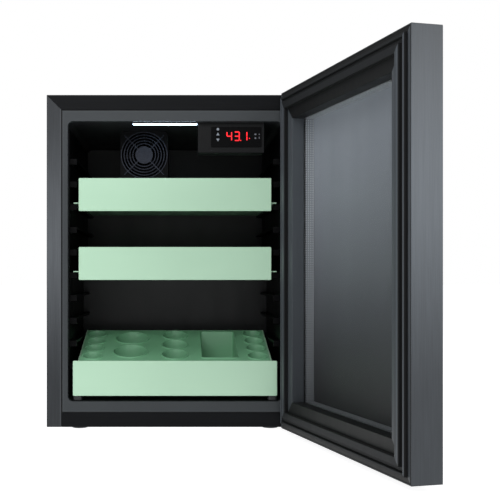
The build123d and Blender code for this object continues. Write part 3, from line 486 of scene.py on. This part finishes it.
@dataclass(frozen=True)
class SeamedPlastic(MouldedPlastic):
    """Moulded step with painted shade along a seam round its outer edge, where it meets the steel,
    and a painted highlight just inside the seam.

    half_width, low and high are where that edge lies, and seam is how wide the seam is.
    """

    half_width: float = 0.2135
    low: float = 0.037
    high: float = 0.607
    seam: float = 0.0016

    def make(self) -> bpy.types.Material:
        """The finish's material."""
        graph = Graph(self.name)
        x, _, up = graph.axes()
        from_side = self.half_width - abs(x)
        from_end = (self.high - self.low) / 2 - abs(up - (self.low + self.high) / 2)
        inside = graph.math("MINIMUM", from_side, from_end)
        # painted shade in the seam at the outer edge
        bare = inside.smooth(self.seam * 0.7, self.seam * 1.1)
        # painted highlight just inside the seam
        ridge_highlight = 1 - abs(inside - self.seam * 2).smooth(0.0, self.seam)
        grain = graph.noise(self.grain, 2.0)
        cloud = graph.noise(14.0, 3.0)
        tone = graph.mix(cloud, scaled(self.colour, 0.88), scaled(self.colour, 1.12))
        with_highlight = graph.mix(ridge_highlight * 0.3, tone, scaled(self.colour, 1.6))
        colour = graph.mix(bare, scaled(self.colour, 0.08), with_highlight)
        return graph.surface(
            {
                "Base Color": colour,
                "Roughness": self.roughness + (grain - 0.5) * 0.08 + (cloud - 0.5) * 0.1,
                "Specular IOR Level": self.gloss,
                "Normal": graph.bump(grain, self.grain_depth),
            }
        )


@dataclass(frozen=True)
class MitredPlastic(MouldedPlastic):
    """Moulded ring round the door, mitred at its corners and darker along its head and foot.

    grooves and ridges are distances in from the door's edge, where lines of painted shade and of
    painted highlight lie; line is how far one reaches on each side, and the end shade is the tone
    of the head and foot as a share of the sides'. The sides are also painted darker towards the
    door's foot.
    """

    door: DoorAxes = DoorAxes()
    end_shade: float = 0.12
    shaded_grooves: tuple[float, ...] = (0.0026, 0.0098, 0.0158, 0.0222, 0.0345)
    highlight_ridges: tuple[float, ...] = (0.0125, 0.0190, 0.0270)
    line: float = 0.0011

    def make(self) -> bpy.types.Material:
        """The finish's material."""
        graph = Graph(self.name)
        end = self.door.mitre(graph)
        inset = graph.math("MINIMUM", self.door.from_side(graph), self.door.from_end(graph))
        # painted highlight on the ribs and painted shade in the grooves, at given distances in from
        # the door's edge
        ridge_highlight = graph.lines(inset, self.highlight_ridges, self.line * 1.4)
        groove_shade = graph.lines(inset, self.shaded_grooves, self.line)
        grain = graph.noise(self.grain, 2.0)
        streak = graph.noise(60.0, 3.0, (1.0, 1.0, 0.05))
        bare = graph.mix(streak, scaled(self.colour, 0.85), scaled(self.colour, 1.15))
        # painted shade: the sides darker towards the door's foot
        rise = self.door.height(graph).smooth(0.0, 0.55)
        shaded_to_foot = graph.mix(rise, scaled(self.colour, 0.7), bare)
        rib_highlighted = graph.mix(ridge_highlight * 0.6, shaded_to_foot, scaled(self.colour, 2.2))
        # painted shade on the head and foot of the ring
        ring = graph.mix(end, rib_highlighted, scaled(self.colour, self.end_shade))
        colour = graph.mix(groove_shade, ring, scaled(self.colour, 0.06))
        return graph.surface(
            {
                "Base Color": colour,
                "Roughness": self.roughness + (streak - 0.5) * 0.12 + end * 0.12 + groove_shade * 0.2,
                "Specular IOR Level": self.gloss,
                "Normal": graph.bump(grain, self.grain_depth),
            }
        )


@dataclass(frozen=True)
class DrawerPlastic(Finish):
    """Satin drawer plastic, through-coloured, with flow marks and a soft clear skin."""

    deep: Colour = (0.3, 0.5, 0.35)
    roughness: float = 0.36
    gloss: float = 0.4
    skin: float = 0.2
    skin_roughness: float = 0.25
    grain: float = 1100.0
    grain_depth: float = 0.00002

    def make(self) -> bpy.types.Material:
        """The finish's material."""
        graph = Graph(self.name)
        flow = graph.noise(9.0, 3.0, (0.35, 1.0, 1.4))
        grain = graph.noise(self.grain, 2.0)
        colour = graph.mix(flow.smooth(0.3, 0.75) * 0.35, self.colour, self.deep)
        return graph.surface(
            {
                "Base Color": colour,
                "Roughness": self.roughness + (flow - 0.5) * 0.1 + (grain - 0.5) * 0.05,
                "Specular IOR Level": self.gloss,
                "Coat Weight": flow * 0.1 + self.skin,
                "Coat Roughness": self.skin_roughness,
                "Normal": graph.bump(grain, self.grain_depth),
            }
        )


@dataclass(frozen=True)
class TintedGlass(Finish):
    """Dark float glass, polished outside, with a painted reflection on its inner face.

    The painted reflection is a nearly opaque layer seen only from the inside, going from the foot
    colour up the door to a light grey, and lighter towards the hinge edge. skin is its depth from
    the hinge pin, clear is what the bare glass lets through and the reflection's clearness what the
    painted layer lets through.
    """

    film: Colour = (0.285, 0.315, 0.355)
    foot: Colour = (0.006, 0.006, 0.007)
    door: DoorAxes = DoorAxes()
    clear: float = 0.42
    film_clear: float = 0.012
    skin: float = -0.022
    reach: float = 0.001
    polished: float = 0.08
    dulled: float = 0.5
    gloss: float = 0.25
    coat: float = 0.3
    coat_roughness: float = 0.04

    def make(self) -> bpy.types.Material:
        """The finish's material."""
        graph = Graph(self.name)
        behind = graph.value("ShaderNodeNewGeometry", "Backfacing")
        inner = self.door.depth(graph).smooth(self.skin - self.reach, self.skin + self.reach)
        # the inner face, seen from inside, carries the painted reflection
        filmed = inner * (1 - behind)
        # painted reflection: lighter up the door and towards the hinge edge, with faint drawn
        # streaks
        rise = self.door.height(graph).smooth(0.08, 1.06)
        drawn = graph.noise(26.0, 2.0, (1.0, 1.0, 0.02))
        wipe = graph.noise(9.0, 3.0, (1.0, 1.0, 0.4))
        tone = rise * (1.12 - self.door.across(graph) * 0.4) * (drawn * 0.14 + 0.93)
        dull = filmed * (self.dulled - self.polished) + self.polished
        return graph.surface(
            {
                "Base Color": graph.mix(filmed, self.colour, graph.mix(tone, self.foot, self.film)),
                "Roughness": dull + (wipe - 0.5) * 0.05,
                "Specular IOR Level": self.gloss,
                "Coat Weight": self.coat - filmed * self.coat,
                "Coat Roughness": self.coat_roughness,
                "Alpha": 1 - self.clear + filmed * (self.clear - self.film_clear),
            }
        )


@dataclass(frozen=True)
class ClearGlass(Finish):
    """Untinted float glass with a faint bloom."""

    clear: float = 0.97
    roughness: float = 0.4
    gloss: float = 0.08

    def make(self) -> bpy.types.Material:
        """The finish's material."""
        graph = Graph(self.name)
        bloom = graph.noise(9.0, 3.0, (1.0, 1.0, 0.4))
        return graph.surface(
            {
                "Base Color": graph.mix(bloom, scaled(self.colour, 0.8), self.colour),
                "Roughness": self.roughness + (bloom - 0.5) * 0.1,
                "Specular IOR Level": self.gloss,
                "Alpha": 1 - self.clear + (bloom - 0.5) * 0.01,
            }
        )


@dataclass(frozen=True)
class Rubber(Finish):
    """Soft black rubber with a dusty bloom."""

    roughness: float = 0.62
    gloss: float = 0.3
    pore: float = 1600.0
    pore_depth: float = 0.00004

    def make(self) -> bpy.types.Material:
        """The finish's material."""
        graph = Graph(self.name)
        bloom = graph.noise(30.0, 4.0)
        pores = graph.noise(self.pore, 2.0)
        colour = graph.mix(bloom.smooth(0.45, 0.85) * 0.5, self.colour, scaled(self.colour, 1.9))
        return graph.surface(
            {
                "Base Color": colour,
                "Roughness": self.roughness + (bloom - 0.5) * 0.2,
                "Specular IOR Level": self.gloss,
                "Normal": graph.bump(pores, self.pore_depth),
            }
        )


@dataclass(frozen=True)
class Metal(Finish):
    """Bare or plated metal with crystals or drawing marks."""

    roughness: float = 0.34
    crystal: float = 140.0
    run: Run = Run.UP
    drawn: float = 700.0
    drawn_depth: float = 0.00003

    def make(self) -> bpy.types.Material:
        """The finish's material."""
        graph = Graph(self.name)
        cells = graph.cells(self.crystal)
        lines = graph.noise(self.drawn, 2.0, self.run.value)
        darker, lighter = scaled(self.colour, 0.82), scaled(self.colour, 1.1)
        colour = graph.mix(cells.smooth(0.1, 0.9), darker, lighter)
        return graph.surface(
            {
                "Base Color": colour,
                "Metallic": 1.0,
                "Roughness": self.roughness + (cells - 0.5) * 0.16 + (lines - 0.5) * 0.1,
                "Normal": graph.bump(lines, self.drawn_depth),
            }
        )


@dataclass(frozen=True)
class PerforatedStrip(Finish):
    """Rolled metal strip between the panes, with lengthwise folds and rows of breathing holes;
    painted shade in the creases and the holes, and painted darker towards the door's foot.
    """

    door: DoorAxes = DoorAxes()
    fold: float = 0.0042
    pitch: float = 0.0042
    hole: float = 0.0008
    start: float = -0.1
    shaded: Colour = (0.03, 0.03, 0.035)
    metallic: float = 0.35
    roughness: float = 0.45
    depth: float = 0.0002

    def make(self) -> bpy.types.Material:
        """The finish's material."""
        graph = Graph(self.name)
        depth = self.door.depth(graph) - self.start
        up = graph.axes()[2]
        end = self.door.mitre(graph)
        run = up * (1 - end) + self.door.along(graph) * end
        along = abs(run % self.pitch - self.pitch / 2)
        over = abs(depth % self.fold - self.fold / 2)
        # painted shade in the breathing holes
        hole = 1 - (along ** 2 + over ** 2).smooth(self.hole ** 2 * 0.5, self.hole ** 2 * 2.0)
        # painted shade in the creases of the folds
        crease = 1 - over.smooth(self.fold * 0.26, self.fold * 0.42)
        drawn = graph.noise(500.0, 2.0, Run.UP.value)
        bare = graph.mix(drawn, scaled(self.colour, 0.85), scaled(self.colour, 1.1))
        crease_shaded = graph.mix(crease, scaled(self.colour, 0.22), bare)
        # painted shade: darker towards the door's foot
        rise = self.door.height(graph).smooth(0.0, 0.8)
        lit = graph.mix(rise, scaled(self.colour, 0.3), crease_shaded)
        return graph.surface(
            {
                "Base Color": graph.mix(hole * 0.7, lit, self.shaded),
                "Metallic": self.metallic,
                "Roughness": self.roughness + (drawn - 0.5) * 0.2,
                "Normal": graph.bump(crease - hole, self.depth),
            }
        )


@dataclass(frozen=True)
class Lit(Finish):
    """A face that glows, with faint random patches a little dimmer."""

    strength: float = 4.0
    shimmer: float = 0.25
    roughness: float = 0.4

    def make(self) -> bpy.types.Material:
        """The finish's material."""
        graph = Graph(self.name)
        glow = graph.noise(160.0, 2.0)
        colour = graph.mix(glow * self.shimmer, self.colour, scaled(self.colour, 0.55))
        return graph.surface(
            {
                "Base Color": colour,
                "Roughness": self.roughness + (glow - 0.5) * 0.1,
                "Emission Color": colour,
                "Emission Strength": self.strength,
            }
        )


@dataclass(frozen=True)
class DisplayMarks(Finish):
    """Lit display marks: glowing digits, then pale icons to the right of a split."""

    strength: float = 1.7
    split: float = 0.147
    reach: float = 0.0005
    icons: Colour = (0.07, 0.08, 0.095)
    unlit: Colour = (0.02, 0.01, 0.01)
    roughness: float = 0.3

    def make(self) -> bpy.types.Material:
        """The finish's material."""
        graph = Graph(self.name)
        past = graph.axes()[0].smooth(self.split - self.reach, self.split + self.reach)
        colour = graph.mix(past, self.colour, self.icons)
        return graph.surface(
            {
                "Base Color": self.unlit,
                "Roughness": self.roughness,
                "Emission Color": colour,
                "Emission Strength": self.strength,
            }
        )


@dataclass(frozen=True)
class PlainFloor(Finish):
    """Pale seamless floor that is lit a little from within, so it fades into the backdrop."""

    glow: float = 0.9
    roughness: float = 0.9

    def make(self) -> bpy.types.Material:
        """The finish's material."""
        graph = Graph(self.name)
        return graph.surface(
            {
                "Base Color": self.colour,
                "Roughness": self.roughness,
                "Specular IOR Level": 0.0,
                "Emission Color": (1.0, 1.0, 1.0),
                "Emission Strength": self.glow,
            }
        )


class Wardrobe:
    """Every finish, made once and kept by its key."""

    def __init__(self) -> None:
        """Makes the finishes of the whole appliance."""
        finishes: dict[str, Finish] = {
            "frame_up": BrushedEnamel(
                "frame_brushed_up",
                (0.026, 0.029, 0.033),
                Run.UP,
                roughness=0.42,
                gloss=0.22,
                # pale paints a sheen; lip places a painted shadow and a painted highlight along the
                # rolled inner edge
                pale=(0.088, 0.096, 0.106),
                lip=(0.2135, 0.0012),
            ),
            "frame_across": BrushedEnamel(
                "frame_brushed_across",
                (0.006, 0.0065, 0.0075),
                Run.ACROSS,
                gloss=0.06,
            ),
            "shell": BrushedEnamel(
                "shell_brushed",
                (0.022, 0.023, 0.025),
                Run.BACK,
                roughness=0.42,
            ),
            "door_up": BrushedEnamel(
                "door_brushed_up",
                (0.031, 0.036, 0.042),
                Run.UP,
                gloss=0.3,
                # pale paints a sheen round a height
                pale=(0.092, 0.105, 0.120),
                sheen_at=0.42,
                sheen_reach=0.31,
            ),
            "door_across": BrushedEnamel(
                "door_brushed_across",
                (0.018, 0.021, 0.024),
                Run.ACROSS,
                gloss=0.4,
            ),
            # painted shade in its edge seam and a painted highlight inside it
            "breaker": SeamedPlastic(
                "breaker_satin",
                (0.036, 0.041, 0.045),
                roughness=0.42,
                gloss=0.24,
            ),
            "cavity": MouldedPlastic(
                "cavity_moulded",
                (0.012, 0.012, 0.014),
                roughness=0.42,
                gloss=0.35,
            ),
            "rack": MouldedPlastic(
                "rack_moulded",
                (0.0022, 0.0023, 0.0026),
                roughness=0.4,
                gloss=0.05,
            ),
            "trim": MouldedPlastic(
                "trim_moulded",
                (0.030, 0.031, 0.034),
                roughness=0.4,
                gloss=0.35,
            ),
            "black": MouldedPlastic("black_moulded", (0.016, 0.017, 0.019), roughness=0.4),
            "fan": MouldedPlastic(
                "fan_moulded",
                (0.0035, 0.0037, 0.0042),
                roughness=0.4,
                gloss=0.06,
            ),
            # door ring finishes below: painted shade on the head and foot, towards the foot and in
            # the grooves, painted highlights on the ribs
            "inner_frame": MitredPlastic(
                "door_inner_moulded",
                (0.058, 0.066, 0.075),
                roughness=0.42,
                gloss=0.3,
                end_shade=0.05,
            ),
            "gasket": MitredPlastic(
                "gasket_rubber",
                (0.044, 0.050, 0.058),
                roughness=0.5,
                gloss=0.25,
                end_shade=0.2,
            ),
            "rubber": Rubber("foot_rubber", (0.014, 0.014, 0.014)),
            # outer glass: its inner face carries a painted reflection
            "outer_glass": TintedGlass("outer_tinted_glass", (0.010, 0.012, 0.015)),
            "inner_glass": ClearGlass("inner_clear_glass", (0.08, 0.09, 0.10)),
            # spacer: painted shade in its creases and holes and towards the door's foot
            "spacer": PerforatedStrip("pane_spacer", (0.52, 0.56, 0.60)),
            "mint": DrawerPlastic("drawer_mint", (0.425, 0.640, 0.472), (0.385, 0.595, 0.435)),
            "deck": DrawerPlastic("cup_deck_green", (0.20, 0.46, 0.27), (0.16, 0.40, 0.22)),
            "lamp": Lit("lamp_glow", (0.62, 0.82, 1.0), strength=9.0),
            "marks": DisplayMarks("display_glow", (1.0, 0.004, 0.012)),
            "button": Lit("button_glow", (0.16, 0.18, 0.21), strength=0.5, shimmer=0.2),
            "window": MouldedPlastic(
                "display_tint",
                (0.0012, 0.0012, 0.0016),
                roughness=0.35,
                gloss=0.06,
                mottle=0.05,
            ),
            "control": MouldedPlastic(
                "control_moulded",
                (0.007, 0.0073, 0.008),
                roughness=0.4,
                gloss=0.12,
            ),
            "zinc": Metal("zinc_sheet", (0.52, 0.53, 0.54), 0.4, 90.0),
            "steel": Metal("plated_steel", (0.42, 0.43, 0.44), 0.3, 400.0),
            "wire": Metal("guard_wire", (0.030, 0.033, 0.042), 0.38, 300.0),
            "copper": Metal("copper_tube", (0.72, 0.36, 0.22), 0.3, 220.0),
            "fins": Metal("fin_aluminium", (0.72, 0.73, 0.74), 0.35, 200.0),
            "coil": BrushedEnamel(
                "coil_enamel",
                (0.015, 0.015, 0.015),
                Run.ACROSS,
                roughness=0.35,
                gloss=0.5,
            ),
            "can": BrushedEnamel(
                "compressor_enamel",
                (0.013, 0.013, 0.014),
                Run.UP,
                roughness=0.3,
                gloss=0.5,
            ),
            "rear": BrushedEnamel(
                "rear_enamel",
                (0.03, 0.03, 0.032),
                Run.ACROSS,
                roughness=0.5,
                gloss=0.3,
            ),
            "nylon": MouldedPlastic("bush_nylon", (0.62, 0.61, 0.56), roughness=0.4),
            "foam": MouldedPlastic(
                "foam_cells",
                (0.78, 0.70, 0.46),
                roughness=0.85,
                grain=500.0,
                grain_depth=0.0004,
            ),
        }
        self.made = {key: finish.make() for key, finish in finishes.items()}

    def dress(self, obj: bpy.types.Object, key: str) -> None:
        """Gives an object one finish all over.

        Args:
            obj: the object.
            key: the finish's key.
        """
        if obj.material_slots:
            for slot in obj.material_slots:
                slot.material = self.made[key]
        else:
            obj.data.materials.append(self.made[key])


@dataclass
class Workshop:
    """What every sub-assembly uses: the frame, its finishes and the way to soften a node's edges.

    Corners closer than weld are joined, faces that turn less than flat_turn become one, and edges
    that turn more than edge_turn are rounded. The turns are in degrees.
    """

    frame: dict
    wardrobe: Wardrobe
    slots: dict[str, str] = field(default_factory=dict)
    owners: dict[str, str] = field(default_factory=dict)
    weld: float = 0.00001
    flat_turn: float = 0.5
    edge_turn: float = 35.0

    def __post_init__(self) -> None:
        """Reads each node's slot and body from the record."""
        record = self.frame["record"]
        self.slots = {entry["node"]: entry["material_slot"] for entry in record["subparts"]}
        for body, nodes in record["behaviour"]["bodies"].items():
            self.owners.update({node: body for node in nodes})

    def dress(self, key: str, nodes: Iterable[str]) -> None:
        """Gives CAD nodes a finish.

        Args:
            key: the finish's key.
            nodes: the nodes' names.
        """
        for node in nodes:
            self.wardrobe.dress(self.frame["nodes"][node], key)
            LOG.info("dressed %s as %s", node, key)

    def adopt(self, obj: bpy.types.Object, key: str, node: str) -> bpy.types.Object:
        """Puts a new piece on a node's body in place of the node, with its finish.

        Args:
            obj: the new piece.
            key: the finish's key.
            node: the CAD node that it stands for.

        Returns:
            The piece.
        """
        self.wardrobe.dress(obj, key)
        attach(obj, self.owners[node])
        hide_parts(node)
        LOG.info("built %s on %s", obj.name, self.owners[node])
        return obj

    def soften(self, node: str, key: str, width: float, segments: int = 2) -> bpy.types.Object:
        """Shows a node with its edges rounded.

        Args:
            node: the node.
            key: the finish's key.
            width: how far the rounding reaches on each side of an edge.
            segments: steps across the rounding.

        Returns:
            The rounded piece.
        """
        mesh = bmesh.new()
        mesh.from_mesh(self.frame["nodes"][node].data)
        bmesh.ops.remove_doubles(mesh, verts=mesh.verts, dist=self.weld)
        flat = math.radians(self.flat_turn)
        bmesh.ops.dissolve_limit(mesh, angle_limit=flat, verts=mesh.verts, edges=mesh.edges)
        obj = finish_mesh(f"{node}_rounded", mesh)
        bevel = obj.modifiers.new("edge", "BEVEL")
        bevel.width = width
        bevel.segments = segments
        bevel.limit_method = "ANGLE"
        bevel.angle_limit = math.radians(self.edge_turn)
        bevel.use_clamp_overlap = True
        bevel.harden_normals = True
        return self.adopt(obj, key, node)


def finish_mesh(name: str, mesh: bmesh.types.BMesh, angle: float = 30.0) -> bpy.types.Object:
    """Turns mesh data into an object with smooth shading across soft edges.

    Args:
        name: the object's name.
        mesh: the mesh, which is freed.
        angle: edges that turn more than this stay sharp, in degrees.

    Returns:
        The object.
    """
    limit = math.radians(angle)
    for face in mesh.faces:
        face.smooth = True
    for edge in mesh.edges:
        edge.smooth = edge.is_manifold and edge.calc_face_angle(0.0) < limit
    data = bpy.data.meshes.new(name)
    mesh.to_mesh(data)
    mesh.free()
    obj = bpy.data.objects.new(name, data)
    bpy.context.scene.collection.objects.link(obj)
    return obj


@dataclass
class Cabinet:
    """The black steel cabinet with its mitred front edge and the step round the cavity."""

    shop: Workshop
    edge: float = 0.0011
    step_edge: float = 0.0009

    def build(self) -> None:
        """Dresses the cabinet's outside."""
        for node in ("front_stile_left", "front_stile_right"):
            self.shop.soften(node, "frame_up", self.edge)
        for node in ("front_rail_top", "front_rail_bottom"):
            self.shop.soften(node, "frame_across", self.edge)
        self.shop.soften("breaker_frame", "breaker", self.step_edge)
        self.shop.dress("shell", ("cabinet_shell",))
        self.shop.dress("zinc", ("base_pan", "machine_bay_lining"))
        self.shop.dress("foam", ("insulation_foam",))
        self.shop.dress("rear", ("back_panel",))
        self.shop.dress("steel", ("rear_screws", "hinge_pins", "hinge_screws"))
        self.shop.dress("trim", ("hinge_plate_top", "hinge_plate_bottom"))
        self.shop.dress("rubber", ("rear_feet", "cord_gland"))
        self.shop.dress("black", ("front_foot_left", "front_foot_right"))


@dataclass
class Cavity:
    """The moulded cavity with its ledge racks, lamp and evaporator cover."""

    shop: Workshop
    ledge_edge: float = 0.0008

    def build(self) -> None:
        """Dresses the inside of the cabinet."""
        self.shop.dress("cavity", ("inner_liner", "evaporator_cover"))
        for node in ("rack_left", "rack_right"):
            self.shop.soften(node, "rack", self.ledge_edge)
        self.shop.dress("fins", ("evaporator_coil",))
        self.shop.dress("trim", ("light_housing",))
        self.shop.dress("lamp", ("light_lens",))


@dataclass
class FanUnit:
    """The guarded fan behind the top drawer."""

    shop: Workshop
    blade_edge: float = 0.0004

    def build(self) -> None:
        """Dresses the fan."""
        self.shop.dress("fan", ("fan_shroud", "fan_motor"))
        self.shop.soften("fan_rotor", "fan", self.blade_edge)
        self.shop.dress("wire", ("fan_guard",))


@dataclass
class ControlPanel:
    """The control box with its tinted window, lit marks and three buttons."""

    shop: Workshop
    box_edge: float = 0.0008

    def build(self) -> None:
        """Dresses the controls."""
        self.shop.soften("control_box", "control", self.box_edge)
        self.shop.dress("window", ("display_window",))
        self.shop.dress("marks", ("display_marks",))
        self.shop.dress("button", ("button_light", "button_up", "button_down"))


@dataclass
class Drawers:
    """The three drawers and the cup deck."""

    shop: Workshop
    edge: float = 0.0006
    deck_edge: float = 0.0007

    def build(self) -> None:
        """Dresses the drawers."""
        for node in ("top_tray", "middle_tray", "bottom_tray"):
            self.shop.soften(node, "mint", self.edge)
        self.shop.soften("bottom_tray_insert", "deck", self.deck_edge)
        self.shop.dress("black", ("tray_glides",))


@dataclass
class Door:
    """The glass door, standing open on its hinges."""

    shop: Workshop
    edge: float = 0.001
    ring_edge: float = 0.0008
    gasket_edge: float = 0.0012
    gasket_steps: int = 3

    def build(self) -> None:
        """Dresses the door."""
        for node in ("door_stile_hinge", "door_stile_free"):
            self.shop.soften(node, "door_up", self.edge)
        for node in ("door_rail_top", "door_rail_bottom"):
            self.shop.soften(node, "door_across", self.edge)
        self.shop.soften("door_inner_frame", "inner_frame", self.ring_edge)
        self.shop.soften("door_gasket", "gasket", self.gasket_edge, self.gasket_steps)
        self.shop.dress("outer_glass", ("outer_glass",))
        self.shop.dress("inner_glass", ("inner_glass",))
        self.shop.dress("spacer", ("glass_spacer",))
        self.shop.dress("rubber", ("gasket_magnets",))
        self.shop.dress("nylon", ("door_bushes",))


@dataclass
class MachineBay:
    """The compressor, pipes and condenser behind the slotted grille."""

    shop: Workshop

    def build(self) -> None:
        """Dresses the machine bay."""
        self.shop.dress("can", ("compressor",))
        self.shop.dress("rubber", ("compressor_grommets",))
        self.shop.dress("black", ("terminal_cover", "drain_pan"))
        self.shop.dress("copper", ("refrigerant_pipes", "filter_drier"))
        self.shop.dress("coil", ("condenser_coil",))
        self.shop.dress("rear", ("rear_grille",))


@dataclass
class Studio:
    """Pale floor, white surroundings, soft lights and the camera.

    front is where the cabinet's front lies, distance is how far the camera stands from it and
    height how high. surround is the strength of the surroundings as a light.
    """

    front: float
    height: float = 0.292
    distance: float = 1.690
    lens: float = 64.66
    sensor: float = 36.0
    shift: tuple[float, float] = (0.15, 0.0544)
    floor_reach: float = 30.0
    floor_drop: float = 0.0002
    surround: float = 0.26

    def build(self) -> None:
        """Makes the studio."""
        self.floor()
        self.world()
        right, left = (2.6, self.front - 2.6, 1.5), (-0.9, self.front - 2.8, 1.9)
        above = (-0.6, self.front - 0.3, 3.0)
        self.softbox("key", right, aim=(0.1, 0.0, 0.35), size=(1.6, 2.2), power=46.0)
        self.softbox("fill", left, aim=(0.0, 0.0, 0.3), size=(2.6, 1.6), power=44.0)
        self.softbox("over", above, aim=(0.0, -0.2, 0.3), size=(2.4, 2.4), power=30.0)
        self.camera()

    def floor(self) -> None:
        """Lays the floor."""
        mesh = bmesh.new()
        bmesh.ops.create_grid(mesh, x_segments=8, y_segments=8, size=self.floor_reach)
        floor = finish_mesh("studio_floor", mesh)
        floor.data.materials.append(PlainFloor("floor_paper", (0.5, 0.5, 0.5)).make())
        floor.location.z = -self.floor_drop

    def world(self) -> None:
        """Makes the surroundings white to look at and dimmer as a light."""
        graph = Graph("studio_world", surroundings=True)
        background = "ShaderNodeBackground"
        seen = graph.node(background, None, {"Color": (1.0, 1.0, 1.0)})
        light = {"Color": (0.96, 0.98, 1.0), "Strength": self.surround}
        lights = graph.node(background, None, light)
        by_camera = graph.node("ShaderNodeLightPath").outputs["Is Camera Ray"]
        shown = {0: by_camera, 1: lights.outputs[0], 2: seen.outputs[0]}
        mixed = graph.node("ShaderNodeMixShader", None, shown)
        graph.node("ShaderNodeOutputWorld", None, {"Surface": mixed.outputs[0]})
        bpy.context.scene.world = graph.owner

    def softbox(
        self,
        name: str,
        place: Sequence[float],
        aim: Sequence[float],
        size: tuple[float, float],
        power: float,
    ) -> None:
        """Adds a soft rectangular light.

        Args:
            name: the light's name.
            place: where it stands.
            aim: what it faces.
            size: its width and height.
            power: its power in watts.
        """
        data = bpy.data.lights.new(name, "AREA")
        data.shape = "RECTANGLE"
        data.size, data.size_y = size
        data.energy = power
        light = bpy.data.objects.new(name, data)
        light.location = place
        light.rotation_euler = (Vector(aim) - Vector(place)).to_track_quat("-Z", "Y").to_euler()
        bpy.context.scene.collection.objects.link(light)

    def camera(self) -> None:
        """Sets the camera level, straight on to the cabinet's front."""
        data = bpy.data.cameras.new("camera")
        data.lens = self.lens
        data.sensor_width = self.sensor
        data.shift_x, data.shift_y = self.shift
        camera = bpy.data.objects.new("camera", data)
        camera.location = (0.0, self.front - self.distance, self.height)
        camera.rotation_euler = (math.pi / 2, 0.0, 0.0)
        bpy.context.scene.collection.objects.link(camera)
        bpy.context.scene.camera = camera


def main() -> None:
    """Loads the frame and builds every sub-assembly over it."""
    logging.basicConfig(level=logging.INFO, format="%(name)s: %(message)s")
    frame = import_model()
    bpy.context.scene.view_settings.view_transform = "Standard"
    shop = Workshop(frame, Wardrobe())
    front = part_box("front_rail_bottom")[0].y
    for assembly in (Cabinet, Cavity, FanUnit, ControlPanel, Drawers, Door, MachineBay):
        assembly(shop).build()
        LOG.info("finished %s", assembly.__name__)
    Studio(front).build()


if __name__ == "__main__":
    main()
